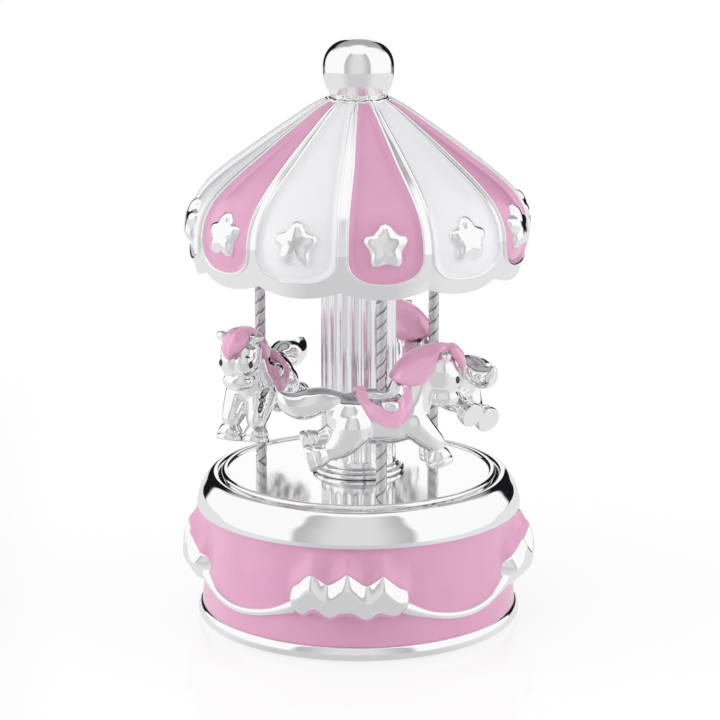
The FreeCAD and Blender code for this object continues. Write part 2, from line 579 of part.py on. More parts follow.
# Poles, nuts and ceiling plate
ceiling = rod(CEILING_R, CEILING_Z, CEILING_TOP).cut(rod(TIE_ROD_R + SEAT_FIT, 100, 120))
nuts = []
for k, (x, y) in enumerate(pole_spots):
    save(rod(POLE_R, TURNTABLE_TOP, POLE_TOP, x, y), "pole_%d" % (k + 1))
    ceiling = ceiling.cut(rod(POLE_R + SEAT_FIT, 100, 120, x, y))
    nuts.append(hexagon(POLE_NUT_FLATS, CEILING_TOP, CEILING_TOP + POLE_NUT_H, x, y).cut(
        rod(POLE_R + SEAT_FIT, 100, 120, x, y)))
save(ceiling, "ceiling_plate")
save(Part.makeCompound(nuts), "pole_nuts")

# Pony: nose along +X, pole along Z through the saddle, left and right alike
parts_of_pony = [
    ellipsoid((0.0, 0, 66.2), (13.0, 6.4, 7.6)),
    ellipsoid((-7.0, 0, 67.0), (7.4, 6.4, 7.6)),
    ellipsoid((7.2, 0, 67.6), (6.0, 6.0, 7.6)),
    limb([((6.4, 0, 68.0), 6.0, (0.4, 0, 1)), ((9.4, 0, 74.5), 5.0, (0.5, 0, 1)),
          ((13.6, 0, 81.0), 4.6, (0.7, 0, 1))]),
    ellipsoid((17.6, 0, 78.6), (5.5, 5.0, 7.0)),
    ellipsoid((17.4, 0, 72.2), (4.3, 3.9, 3.6)),
    ellipsoid((9.4, 0, 80.0), (4.6, 4.7, 5.0), -35),
    ellipsoid((13.0, 0, 83.4), (4.6, 4.2, 4.2), -20),
    ellipsoid((17.6, 0, 85.4), (4.6, 3.6, 2.6)),
    limb([((19.6, 0, 86.0), 2.0, (1, 0, -0.3)), ((21.8, 0, 84.7), 1.5, (1, 0, -0.8)),
          ((23.2, 0, 82.8), 0.5, (1, 0, -1.2))]),
    ellipsoid((0.6, 0, 73.2), (6.0, 4.6, 2.0)),
    ellipsoid((3.6, 0, 75.4), (1.8, 2.4, 2.2)),
    limb([((-10.5, 0, 70.6), 2.2, (-1, 0, 0.1)), ((-15.0, 0, 71.2), 2.8, (-1, 0, -0.1)),
          ((-20.0, 0, 70.2), 4.1, (-1, 0, -0.1)), ((-24.5, 0, 69.4), 4.0, (-1, 0, 0.1)),
          ((-27.4, 0, 70.4), 2.2, (-1, 0, 0.5)), ((-29.0, 0, 71.4), 0.5, (-1, 0, 0.6))]),
]
for side in (-1, 1):
    parts_of_pony.append(limb([((8.0, side * 2.8, 64.0), 4.2, (0.6, 0, -0.6)),
                               ((12.8, side * 3.2, 60.8), 3.2, (1, 0, -0.6)),
                               ((15.6, side * 3.3, 58.4), 2.8, (0.7, 0, -1)),
                               ((16.2, side * 3.3, 56.4), 2.5, (0.2, 0, -1)),
                               ((17.0, side * 3.3, 53.2), 3.5, (0.3, 0, -1))]))
    parts_of_pony.append(limb([((-8.0, side * 2.6, 65.0), 5.4, (-0.8, 0, -1)),
                               ((-12.4, side * 3.2, 60.6), 4.0, (-1, 0, -0.9)),
                               ((-17.4, side * 3.4, 57.8), 3.0, (-1, 0, -0.7)),
                               ((-21.6, side * 3.4, 54.6), 4.3, (-1, 0, -0.7))]))
    parts_of_pony.append(limb([((17.8, side * 3.0, 82.6), 1.6, (0.1, side * 0.4, 1)),
                               ((18.0, side * 3.7, 84.6), 1.5, (0.1, side * 0.4, 1)),
                               ((18.1, side * 4.2, 86.0), 0.5, (0.1, side * 0.4, 1))]))
pony = parts_of_pony[0].multiFuse(parts_of_pony[1:])
pony = pony.cut(rod(POLE_R + SEAT_FIT, 40, 100))
for k, (x, y) in enumerate(pole_spots):
    horse = pony.copy()
    horse.rotate(V(0, 0, 0), AXIS, POLE_FIRST_ANGLE + 360 * k / POLES + 90)
    horse.translate(V(x, y, 0))
    save(horse, "horse_%d" % (k + 1))

# Canopy shell with a scalloped hem


def roof_layer(inner, outer):
    """The roof surface between two offsets along its normal, closed at hem and neck."""
    def shifted(d):
        points = []
        for i, (r, z) in enumerate(ROOF):
            a = ROOF[max(i - 1, 0)]
            b = ROOF[min(i + 1, len(ROOF) - 1)]
            dr, dz = b[0] - a[0], b[1] - a[1]
            n = math.hypot(dr, dz)
            points.append((r + d * dz / n, z - d * dr / n))
        return points
    low, high = shifted(inner), shifted(outer)
    return turned([spline(low), line(low[-1], high[-1]), spline(high[::-1]), line(high[0], low[0])])


def prism_out(outline, r0, r1):
    wire = Part.makePolygon([V(r0, t, z) for t, z in outline + outline[:1]])
    return Part.Face(wire).extrude(V(r1 - r0, 0, 0))


def curve_out(points, r0):
    curve = Part.BSplineCurve()
    curve.interpolate([V(r0, t, z) for t, z in points])
    return curve.toShape()


def roof_radius(z):
    for (ra, za), (rb, zb) in zip(ROOF, ROOF[1:]):
        if za <= z <= zb:
            return ra + (rb - ra) * (z - za) / (zb - za)
    return ROOF[0][0] if z < ROOF[0][1] else ROOF[-1][0]



def petal_prism(margin, r0, r1):
    """One gore petal, U-shaped below and tapering to the neck above, drawn outwards."""
    tan15 = math.tan(math.pi / GORES)
    top = PETAL_TIP_Z - 1.5 * margin
    side = []
    for k in range(9):
        z = top + (PETAL_ARCH_Z - top) * k / 8
        side.append((max(PETAL_FILL * roof_radius(z) * tan15 - margin, 0.15), z))
    wide = side[-1][0]
    drop = PETAL_ARCH_Z - PETAL_FOOT_Z - margin
    sole = []
    for k in range(13):
        a = math.pi * k / 12
        sole.append((wide * math.cos(a), PETAL_ARCH_Z - drop * math.sin(a)))
    other = [(-t, z) for t, z in reversed(side)]
    brow = Part.LineSegment(V(r0, other[-1][0], top), V(r0, side[0][0], top)).toShape()
    wire = Part.Wire([curve_out(side, r0), curve_out(sole, r0), curve_out(other, r0), brow])
    return Part.Face(wire).extrude(V(r1 - r0, 0, 0))


outer_petal = petal_prism(0, 5, 60)
inner_petal = petal_prism(PETAL_RIM_W, 5, 60)
shell = roof_layer(-ROOF_WALL, 0)
petal_layer = roof_layer(-0.05, PETAL_T)
rim_layer = roof_layer(-0.05, PETAL_RIM_T)
rim = rim_layer.common(outer_petal.cut(inner_petal))
puff = petal_layer.common(inner_petal)

star_r = roof_radius(STAR_Z)
core = [(r - 0.5 * ROOF_WALL, z - 0.3 * ROOF_WALL) for r, z in ROOF]
roof_core = turned([spline(core), line(core[-1], (0, core[-1][1])), line((0, core[-1][1]), (0, core[0][1])),
                    line((0, core[0][1]), core[0])])


def star_wire(radius, x):
    points = []
    for k in range(10):
        a = math.pi / 2 + math.pi * k / 5
        r = radius if k % 2 == 0 else radius * 0.5
        points.append(V(x, r * math.cos(a), STAR_Z + r * math.sin(a)))
    return Part.makePolygon(points + points[:1])


star = Part.makeLoft([star_wire(STAR_R, star_r - 2.5), star_wire(STAR_R, star_r + 0.4),
                      star_wire(STAR_R * 0.5, star_r + STAR_H)], True, True)
star.rotate(V(star_r, 0, STAR_Z), V(0, 1, 0), -STAR_TILT)
star = star.cut(roof_core)
scallop_w = ROOF[0][0] * math.tan(math.pi / GORES)
notch = []
for k in range(9):
    t = -scallop_w + 2 * scallop_w * k / 8
    notch.append((t, HEM_Z + HEM_RISE * (t / scallop_w) ** 2))
notch += [(scallop_w, HEM_Z - 5), (-scallop_w, HEM_Z - 5)]
notch_prism = prism_out(notch, 30, 60)
ledge = ring(roof_radius(CEILING_TOP + 0.7) - 0.4, CEILING_R - 3, CEILING_TOP, CEILING_TOP + 1.4)
boss = rod(FINIAL_NECK_R - 0.3, FINIAL_Z - 6, FINIAL_Z).fuse(rod(BOSS_R, FINIAL_Z - 6, FINIAL_Z - 2.7))
boss = boss.cut(rod(TIE_ROD_R + SEAT_FIT, FINIAL_Z - 8, FINIAL_Z + 1))

# One pair of gores, enamelled and silver, is made once and set round the roof
gore = 360 / GORES
corners = [V(0, 0, HEM_Z - 9)]
for a in (-0.5 * gore, 0.5 * gore, 1.5 * gore):
    corners.append(V(80 * math.cos(math.radians(a)), 80 * math.sin(math.radians(a)), HEM_Z - 9))
wedge = Part.Face(Part.makePolygon(corners + corners[:1])).extrude(V(0, 0, 80))
pair = shell.common(wedge).cut(Part.makeCompound([notch_prism, spun(notch_prism, gore)]))
pair = pair.multiFuse([rim, spun(rim, gore), star, spun(star, gore), spun(puff, gore)])
pair_angles = [GORE_FIRST_ANGLE + 2 * gore * k for k in range(GORES // 2)]
pairs = [spun(pair, a) for a in pair_angles]
canopy = pairs[0].multiFuse(pairs[1:] + [ledge, boss])
save(canopy.removeSplitter(), "canopy")
inlay = puff.cut(star).cut(shell)
save(Part.makeCompound([spun(inlay, a) for a in pair_angles]), "canopy_enamel")

# Finial and tie rod
rod_top = FINIAL_Z + 5.0
finial = turned([line((0, FINIAL_Z), (FINIAL_NECK_R, FINIAL_Z)),
                 spline([(FINIAL_NECK_R, FINIAL_Z), (FINIAL_NECK_R + 0.3, FINIAL_Z + 2.0),
                         (FINIAL_R - 0.4, FINIAL_Z + 5.2), (FINIAL_R, FINIAL_WIDE_Z)]),
                 spline([(FINIAL_R, FINIAL_WIDE_Z), (FINIAL_R - 0.9, FINIAL_WIDE_Z + 3.2),
                         (FINIAL_R - 3.6, FINIAL_TOP_Z - 1.8), (FINIAL_R - 7.2, FINIAL_TOP_Z - 0.3),
                         (0, FINIAL_TOP_Z)]),
                 line((0, FINIAL_TOP_Z), (0, FINIAL_Z))])
save(finial.cut(rod(TIE_ROD_R + SEAT_FIT, FINIAL_Z - 1, rod_top)), "finial")
save(rod(TIE_ROD_R, nut_mid, rod_top), "tie_rod")
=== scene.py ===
# %% [markdown]
# # A carousel music box
#
# The object is a small silver-plated carousel: an enamelled drum holds a wind-up movement, and a
# mirrored floor with three ponies turns under a roof of twelve gores. The solid model brings the
# sizes and the joints. This lesson adds the looks, and it starts by loading that model, because
# every new piece has to sit in the same frame, in metres.

# %% Load the solid model
import json
import math
import bpy
import numpy as np
from mathutils import Matrix, Vector


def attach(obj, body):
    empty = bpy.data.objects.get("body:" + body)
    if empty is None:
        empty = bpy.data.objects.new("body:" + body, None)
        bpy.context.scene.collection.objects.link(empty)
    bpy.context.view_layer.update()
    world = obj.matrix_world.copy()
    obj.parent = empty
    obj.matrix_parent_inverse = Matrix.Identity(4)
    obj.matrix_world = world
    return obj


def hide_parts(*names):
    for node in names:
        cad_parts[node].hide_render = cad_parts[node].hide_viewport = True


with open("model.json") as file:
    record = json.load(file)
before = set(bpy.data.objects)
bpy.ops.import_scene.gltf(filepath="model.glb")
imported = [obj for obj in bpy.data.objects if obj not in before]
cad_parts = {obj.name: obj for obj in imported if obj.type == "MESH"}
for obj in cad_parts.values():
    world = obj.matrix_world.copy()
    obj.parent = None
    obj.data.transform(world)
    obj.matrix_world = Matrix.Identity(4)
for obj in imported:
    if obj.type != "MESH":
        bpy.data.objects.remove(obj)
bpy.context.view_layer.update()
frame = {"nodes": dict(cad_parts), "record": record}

MM = 0.001

# %% [markdown]
# ## The camera
#
# The picture was taken from a little above, with a long lens. The place of the camera was worked
# out from the ellipses of the mirror floor and of the foot. A long lens keeps the drum and the roof
# nearly the same size, which is why the distance matters more than the zoom.

# %% Camera
CAMERA_TURN = math.radians(3.2)
CAMERA_BACK = 750 * MM
CAMERA_HEIGHT = 258 * MM
CAMERA_TILT = 0.2380
FOCAL_PIXELS = 2650
PICTURE_PIXELS = 720
SHIFT_PIXELS = 1.5
SENSOR = 36
rig = bpy.data.cameras.new("photo_camera")
camera = bpy.data.objects.new("photo_camera", rig)
bpy.context.scene.collection.objects.link(camera)
camera.location = (CAMERA_BACK * math.sin(CAMERA_TURN), -CAMERA_BACK * math.cos(CAMERA_TURN),
                   CAMERA_HEIGHT)
camera.rotation_euler = (math.pi / 2 - CAMERA_TILT, 0, CAMERA_TURN)
rig.sensor_width = SENSOR
rig.lens = SENSOR * FOCAL_PIXELS / PICTURE_PIXELS
rig.shift_x = SHIFT_PIXELS / PICTURE_PIXELS
rig.clip_end = 20
bpy.context.scene.camera = camera
bpy.context.scene.view_settings.view_transform = "Standard"
print("lens in mm:", round(rig.lens, 1))

# %% [markdown]
# ## Shader maths as Python
#
# Node trees are easier to read as sums. This small class holds one socket. Adding or multiplying two
# of them adds the Math node that does it, and `node` adds any other kind of node.

# %% A socket that can be added and multiplied


class Flow:
    """One output socket of a node tree."""

    def __init__(self, tree, socket=None):
        self.tree, self.socket = tree, socket

    def node(self, kind, settings=None, values=None, output=0):
        """A new node with these settings and input values, as one of its outputs."""
        made = self.tree.nodes.new(kind)
        for key, value in (settings or {}).items():
            setattr(made, key, value)
        for key, value in (values or {}).items():
            if isinstance(value, Flow):
                self.tree.links.new(value.socket, made.inputs[key])
            else:
                made.inputs[key].default_value = value
        return Flow(self.tree, made.outputs[output])

    def math(self, operation, a, b=0.0):
        return self.node("ShaderNodeMath", {"operation": operation}, {0: a, 1: b})

    def __add__(self, other):
        return self.math("ADD", self, other)

    def __radd__(self, other):
        return self.math("ADD", other, self)

    def __sub__(self, other):
        return self.math("SUBTRACT", self, other)

    def __rsub__(self, other):
        return self.math("SUBTRACT", other, self)

    def __mul__(self, other):
        return self.math("MULTIPLY", self, other)

    def __rmul__(self, other):
        return self.math("MULTIPLY", other, self)

    def blend(self, low, high):
        """A colour between two colours, chosen by this value."""
        return self.node("ShaderNodeMix", {"data_type": "RGBA"}, {0: self, 6: low, 7: high}, output=2)


def finish_named(name):
    """A new material, with its tree, its shader, a start for new nodes and the Object coordinates."""
    material = bpy.data.materials.new(name)
    material.use_nodes = True
    tree = material.node_tree
    shader = tree.nodes["Principled BSDF"]
    start = Flow(tree)
    place = start.node("ShaderNodeTexCoord", output=3)
    return material, tree, shader, start, place


def feed(tree, shader, **flows):
    """Links flows to the shader's sockets, which are named with _ for each space."""
    for socket, flow in flows.items():
        tree.links.new(flow.socket, shader.inputs[socket.replace("_", " ")])


print("socket class:", Flow.__doc__)

# %% [markdown]
# ## Finishes
#
# Silver plate is a bright metal that is never perfectly even: polishing leaves faint clouds of
# roughness and very shallow waves. The enamel is a coloured glass under a clear skin, slightly darker
# where it pools. The mirror floor has the smallest waves. Steel and brass inside the drum get a drawn
# grain, and shade is painted into the grooves of the poles as a dark grey.

# %% Silver plate, mirror and plain metals
EVEN, DRAWN = (220, 220, 220), (60, 900, 60)
# A dark grey that is painted into the pole grooves as shade.
GROOVE_SHADE = (0.22, 0.22, 0.23, 1)
WAVE = 0.02 * MM


def metal(name, colour, tarnish, rough, spread, wave=WAVE, grain=EVEN, shade_attribute=None):
    """A metal with clouds of tarnish; an attribute, if one is named, marks where a dark grey is
    painted in as shade.
    """
    material, tree, shader, start, place = finish_named(name)
    stretched = start.node("ShaderNodeMapping", None, {"Vector": place, "Scale": grain})
    cloud = start.node("ShaderNodeTexNoise", None, {"Vector": stretched, "Scale": 1.0, "Detail": 4.0})
    broad = start.node("ShaderNodeTexNoise", None, {"Vector": place, "Scale": 45.0, "Detail": 2.0})
    tone = (broad * 0.5).blend((*colour, 1), (*tarnish, 1))
    if shade_attribute:
        # Painted shade: where the attribute says, the colour is mixed with the dark grey.
        painted_shade = start.node("ShaderNodeAttribute", {"attribute_name": shade_attribute}, output=2)
        tone = painted_shade.blend(tone, GROOVE_SHADE)
    feed(tree, shader, Base_Color=tone, Roughness=cloud * spread + (rough - spread / 2))
    feed(tree, shader, Normal=start.node("ShaderNodeBump", None, {
        "Strength": 1.0, "Distance": wave, "Height": cloud * 0.3 + broad}))
    shader.inputs["Metallic"].default_value = 1.0
    return material


silver = metal("silver_plate", (0.965, 0.965, 0.97), (0.925, 0.92, 0.915), 0.06, 0.05)
brushed = metal("column_plate", (0.99, 0.99, 0.995), (0.96, 0.96, 0.96), 0.17, 0.06)
# A darker silver for the ceiling plate: painted shade under the roof.
shaded_silver = metal("painted_shade_underside", (0.60, 0.60, 0.61), (0.50, 0.50, 0.50), 0.30, 0.10)
# The satin poles get painted shade in their grooves.
satin = metal("satin_pole", (0.74, 0.74, 0.75), (0.60, 0.60, 0.60), 0.24, 0.10, shade_attribute="groove")
mirror = metal("mirror_floor", (0.975, 0.978, 0.98), (0.95, 0.95, 0.95), 0.10, 0.03, WAVE / 5)
steel = metal("drawn_steel", (0.60, 0.61, 0.63), (0.48, 0.47, 0.46), 0.30, 0.12, grain=DRAWN)
brass = metal("movement_brass", (0.78, 0.60, 0.28), (0.58, 0.42, 0.18), 0.28, 0.14, grain=DRAWN)
print("metals:", silver.name, brushed.name, shaded_silver.name, satin.name, mirror.name, steel.name, brass.name)

# %% Enamels and black paint
GLAZE_WAVE = 0.04 * MM


def enamel_paint(name, thin, pooled, rough, coat, gleam=0.0):
    """A glaze that is darker where it pools; gleam is how much metal shows in it."""
    material, tree, shader, start, place = finish_named(name)
    pools = start.node("ShaderNodeTexNoise", None, {"Vector": place, "Scale": 70.0, "Detail": 3.0})
    skin = start.node("ShaderNodeTexNoise", None, {"Vector": place, "Scale": 420.0, "Detail": 2.0})
    feed(tree, shader, Base_Color=(pools * 1.2 - 0.1).blend((*thin, 1), (*pooled, 1)),
         Roughness=skin * 0.10 + (rough - 0.05))
    feed(tree, shader, Normal=start.node("ShaderNodeBump", None, {
        "Strength": 1.0, "Distance": GLAZE_WAVE, "Height": pools + skin * 0.15}))
    shader.inputs["Metallic"].default_value = gleam
    shader.inputs["Coat Weight"].default_value = coat
    shader.inputs["Coat Roughness"].default_value = 0.06
    return material


pink = enamel_paint("pink_enamel", (0.74, 0.375, 0.55), (0.67, 0.30, 0.475), 0.30, 0.6)
# The ponies' pink is a lighter copy of the band's enamel: painted light that lifts the shade under the
# roof.
glaze = enamel_paint("pony_pink_painted_light", (0.86, 0.46, 0.65), (0.79, 0.39, 0.58), 0.30, 0.5, 0.25)
# White for the silver gores: a painted reflection of the white room on the silver plate.
white = enamel_paint("white_painted_reflection", (0.86, 0.86, 0.87), (0.81, 0.81, 0.825), 0.30, 0.6)
black = enamel_paint("eye_black", (0.012, 0.011, 0.012), (0.006, 0.006, 0.007), 0.18, 0.8)
print("paints:", pink.name, glaze.name, white.name, black.name)

# %% [markdown]
# ## Light and floor
#
# Polished metal shows the room more than itself. The room here is a white studio that is greyer on
# the side of the camera. Two tall dark screens stand behind the object, left and right. All of this is
# painted into the sky for reflections only, so round silver gets crisp dark edges while the background
# stays white. Places in the sky are given by the turn away from the front, in radians, and by height,
# which runs from -1 below to 1 above.

# %% Studio sky


def grey(value, blue=0.01):
    """A grey with a trace of blue, as a colour with alpha."""
    return (value, value, value + blue, 1)


WHITE = grey(1.0, 0.0)
world = bpy.data.worlds.new("studio")
bpy.context.scene.world = world
world.use_nodes = True
sky = world.node_tree
sky.nodes.clear()
air = Flow(sky)
ray = air.node("ShaderNodeTexCoord", output=0)
split = sky.nodes.new("ShaderNodeSeparateXYZ")
sky.links.new(ray.socket, split.inputs[0])
x, y, z = (Flow(sky, split.outputs[k]) for k in range(3))
side = air.math("ABSOLUTE", air.math("ARCTAN2", x, y * -1.0))


def fade(value, low, high):
    """Rises smoothly from 0 at low to 1 at high, or falls if high is the smaller."""
    return air.node("ShaderNodeMapRange", {"interpolation_type": "SMOOTHSTEP"},
                    {0: value, 1: low, 2: high})


front = fade(side, 0.82, 0.70) * fade(z, 0.92, 0.82)
behind = fade(side, 2.05, 2.45) * fade(z, 0.36, 0.52) * fade(z, 0.97, 0.88)
screen = (fade(side, 2.34, 2.42) * fade(side, 2.97, 2.93)
          * fade(z, -0.12, -0.08) * fade(z, 0.62, 0.48))
shade = fade(side, 2.2, 2.5) * fade(z, 0.0, -0.03) * fade(z, -0.30, -0.22)
lens_side = fade(side, 0.20, 0.74).blend(grey(0.74), grey(0.50))
room = front.blend(WHITE, lens_side)
room = behind.blend(room, grey(0.40))
room = shade.blend(room, grey(0.22))
room = screen.blend(room, grey(0.008, 0.002))
path = sky.nodes.new("ShaderNodeLightPath")
glossy = Flow(sky, path.outputs["Is Glossy Ray"])
camera_ray = Flow(sky, path.outputs["Is Camera Ray"])
soft = fade(side, 0.5, 1.3).blend(grey(0.62), grey(0.92))
colour = camera_ray.blend(glossy.blend(soft, room), WHITE)
back = air.node("ShaderNodeBackground", None, {"Color": colour, "Strength": 1.0})
sky.links.new(back.socket, sky.nodes.new("ShaderNodeOutputWorld").inputs[0])
print("sky nodes:", len(sky.nodes))

# %% [markdown]
# The floor is a round table of white paper. It glows, so that it melts into the background away from
# the object, and only a soft contact shadow near the foot stays. In reflections it is greyer, and
# greyest on the side of the camera.

# %% Floor
TABLE_R, TABLE_Z, LIT_PART = 0.9, -0.2 * MM, 0.3


def rest():
    """Back to object mode with nothing selected."""
    if bpy.context.mode != "OBJECT":
        bpy.ops.object.mode_set(mode="OBJECT")
    bpy.ops.object.select_all(action="DESELECT")


def table_paper():
    """Glowing paper, of which a part near the object is lit by the lamps and takes the shadow."""
    paper, tree, shader, start, place = finish_named("studio_paper")
    fibre = start.node("ShaderNodeTexNoise", None, {"Vector": place, "Scale": 900.0, "Detail": 2.0})
    feed(tree, shader, Base_Color=fibre.blend(grey(0.97, 0.0), grey(0.985, 0.0)))
    shader.inputs["Roughness"].default_value = 0.08
    shader.inputs["Specular IOR Level"].default_value = 0.5
    split = tree.nodes.new("ShaderNodeSeparateXYZ")
    tree.links.new(place.socket, split.inputs[0])
    x, y = (Flow(tree, split.outputs[k]) for k in range(2))
    side = start.math("ABSOLUTE", start.math("ARCTAN2", x, y * -1.0))
    away = start.node("ShaderNodeVectorMath", {"operation": "LENGTH"}, {0: place}, output=1)
    path = tree.nodes.new("ShaderNodeLightPath")
    glossy = Flow(tree, path.outputs["Is Glossy Ray"])
    turned = start.node("ShaderNodeMapRange", None, {0: side, 1: 0.5, 2: 1.0})
    seen = turned.blend(grey(0.62), grey(0.80))
    far = start.node("ShaderNodeMapRange", None, {0: away, 1: 0.10, 2: 0.34})
    glow = start.node("ShaderNodeEmission", None, {"Color": glossy.blend(WHITE, seen)})
    share = start.math("MAXIMUM", far, glossy) * LIT_PART + (1 - LIT_PART)
    plain = Flow(tree, shader.outputs[0])
    mixed = start.node("ShaderNodeMixShader", None, {0: share, 1: plain, 2: glow})
    tree.links.new(mixed.socket, tree.nodes["Material Output"].inputs[0])
    return paper


rest()
bpy.ops.mesh.primitive_circle_add(vertices=96, radius=TABLE_R, fill_type="NGON",
                                  location=(0, 0, TABLE_Z))
floor = bpy.context.object
floor.name = "studio_floor"
floor.data.materials.append(table_paper())
print("table across in m:", 2 * TABLE_R)

# %% Lamps
BOX_SIZE = 0.7
AIM = Vector((0, 0, 0.08))
FILL_ACROSS, FILL_Z, FILL_WATTS = 86 * MM, 103.5 * MM, 0.016
for name, spot, power in (("soft_box_left", (-0.95, -0.2, 0.35), 3.0),
                          ("soft_box_right", (0.95, -0.2, 0.35), 2.6),
                          ("soft_box_top", (-0.4, -0.6, 1.2), 1.6)):
    lamp = bpy.data.lights.new(name, "AREA")
    lamp.energy, lamp.size = power, BOX_SIZE
    box = bpy.data.objects.new(name, lamp)
    box.visible_glossy = False
    bpy.context.scene.collection.objects.link(box)
    box.location = spot
    box.rotation_euler = (AIM - box.location).to_track_quat("-Z", "Y").to_euler()
    print(name, "watts:", lamp.energy)
# A weak lamp under the roof stands for the light that the mirror floor throws back.
fill = bpy.data.lights.new("fill_under_roof", "AREA")
fill.shape, fill.size, fill.energy = "DISK", FILL_ACROSS, FILL_WATTS
inside = bpy.data.objects.new("fill_under_roof", fill)
inside.visible_glossy = inside.visible_camera = False
bpy.context.scene.collection.objects.link(inside)
inside.location = (0, 0, FILL_Z)
print("fill lamp watts:", fill.energy)

# %% [markdown]
# The mirror, the ceiling plate, the key and the movement are shown by their solids. So every solid
# gets the finish of its material slot, and only the ceiling plate gets a darker silver as painted
# shade under the roof.

# %% Finishes of the solid nodes
finish_of = {"silver_plate": silver, "pink_enamel": pink, "mirror": mirror, "steel": steel,
             "brass": brass}
for row in frame["record"]["subparts"]:
    node = frame["nodes"][row["node"]]
    node.data.materials.clear()
    # The ceiling plate gets the darker silver, painted shade under the roof.
    finish = shaded_silver if row["node"] == "ceiling_plate" else finish_of[row["material_slot"]]
    node.data.materials.append(finish)

# %% [markdown]
# ## Turned pieces
#
# Most of the silver is round, and polished metal shows every facet. Turning a smooth profile on a
# lathe gives far cleaner reflections than the solid model's triangles. By hand this is one vertex,
# extruded along the profile and then spun. The rows stay even, so they can be reshaped later. Sizes
# from here on are in millimetres.

# %% Helpers for finished pieces


def only(piece):
    """Selects one piece and makes it active."""
    rest()
    piece.select_set(True)
    bpy.context.view_layer.objects.active = piece


def settle(piece):
    """Applies the place and all modifiers of a piece."""
    only(piece)
    bpy.ops.object.transform_apply(location=True, rotation=True, scale=True)
    for modifier in list(piece.modifiers):
        bpy.ops.object.modifier_apply(modifier=modifier.name)


def hand_in(piece, name, body, slot, finish, *nodes):
    """Names a finished piece, gives it its finish, ties it to its body and hides the nodes it stands
    for; slot is not used.
    """
    settle(piece)
    piece.name = piece.data.name = name
    piece.data.materials.clear()
    piece.data.materials.append(finish)
    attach(piece, body)
    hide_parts(*nodes)
    print(name, "faces:", len(piece.data.polygons))


print("hand_in:", hand_in.__doc__)

# %% Smooth lines and the lathe


def eased(points, per):
    """A smooth line through the points, with so many steps from each to the next."""
    ends = [points[0], *points, points[-1]]
    line = []
    for a, b, c, d in zip(ends, ends[1:], ends[2:], ends[3:]):
        for t in np.arange(per) / per:
            line.append(tuple(
                0.5 * (2 * q + (r - p) * t + (2 * p - 5 * q + 4 * r - s) * t ** 2
                       + (3 * q - p - 3 * r + s) * t ** 3)
                for p, q, r, s in zip(a, b, c, d)))
    return line + [tuple(points[-1])]


def lathe(profile, steps):
    """Spins a line of (radius, height) points in millimetres round the axis."""
    rest()
    bpy.ops.mesh.primitive_plane_add(size=MM)
    piece = bpy.context.object
    bpy.ops.object.mode_set(mode="EDIT")
    bpy.ops.mesh.merge(type="CENTER")
    here = Vector((0, 0, 0))
    for k, (radius, height) in enumerate(profile):
        there = Vector((radius * MM, 0, height * MM))
        if k:
            bpy.ops.mesh.extrude_region_move(TRANSFORM_OT_translate={"value": there - here})
        else:
            bpy.ops.transform.translate(value=there)
        here = there
    bpy.ops.mesh.select_all(action="SELECT")
    bpy.ops.mesh.spin(steps=steps, angle=2 * math.pi, center=(0, 0, 0), axis=(0, 0, 1))
    bpy.ops.mesh.select_all(action="SELECT")
    bpy.ops.mesh.remove_doubles(threshold=0.001 * MM)
    bpy.ops.mesh.normals_make_consistent(inside=False)
    bpy.ops.object.mode_set(mode="OBJECT")
    bpy.ops.object.shade_smooth()
    return piece


print("lathe:", lathe.__doc__)

# %% Reading and moving points


def points_of(piece):
    """The piece's points, in millimetres."""
    flat = np.empty(len(piece.data.vertices) * 3)
    piece.data.vertices.foreach_get("co", flat)
    return flat.reshape(-1, 3) / MM


def set_points(piece, points):
    """Moves the piece's points to places given in millimetres."""
    piece.data.vertices.foreach_set("co", (np.asarray(points) * MM).ravel())
    piece.data.update()


def polar(points):
    """Angle, radius and height of points round the axis."""
    return np.arctan2(points[:, 1], points[:, 0]), np.hypot(points[:, 0], points[:, 1]), points[:, 2]


def from_polar(angle, radius, height):
    """Points from their angle, radius and height."""
    return np.stack([radius * np.cos(angle), radius * np.sin(angle), height], 1)


def step(low, high, value):
    """Rises smoothly from 0 at low to 1 at high, or falls if high is the smaller."""
    t = np.clip((value - low) / (high - low), 0, 1)
    return t * t * (3 - 2 * t)


print("points_of:", points_of.__doc__)

# %% [markdown]
# ## Roof
#
# The roof is one casting of twelve gores. Each gore has a sunken petal panel, and a soft rib stands
# between neighbours. A fine lathe is the start. Then each point is pushed in or out by its distance
# from the edge of its petal, which by hand would be slow sculpting, and the hem is drawn into
# scallops.

# %% Roof line and petal outlines
GORES = 12
FIRST_GORE = math.radians(-77.8)
PITCH = 2 * math.pi / GORES
PETAL_ARCH, PETAL_FOOT, PETAL_TOP, PETAL_SQUARE = 116.0, 108.4, 152.7, 2.4
PINK_HIGH, PINK_LOW, WHITE_HIGH, WHITE_LOW = 0.77, 0.84, 0.90, 0.94
RIB_WIDE, RIB_HIGH, CROWN = 1.8, 0.95, 0.45
HEM_Z, ROOF_TOP = 104.0, 153.0
ROOF = [(46.3, HEM_Z), (47.2, 108.0), (48.0, 114.5), (47.8, 118.5), (46.6, 122.6), (43.4, 127.3),
        (37.6, 132.4), (31.0, 137.2), (24.6, 141.8), (18.2, 146.2), (12.8, 149.9), (8.6, ROOF_TOP)]
roof_line = np.array(eased(ROOF, 14))
slope = np.gradient(roof_line, axis=0)
roof_normal = np.stack([slope[:, 1], -slope[:, 0]], 1) / np.linalg.norm(slope, axis=1)[:, None]


def roof_radius(height):
    """Radius of the plain roof line."""
    return np.interp(height, roof_line[:, 1], roof_line[:, 0])


def roof_out(height):
    """The way out of the roof's surface, as its radial and its upward part."""
    return (np.interp(height, roof_line[:, 1], roof_normal[:, 0]),
            np.interp(height, roof_line[:, 1], roof_normal[:, 1]))


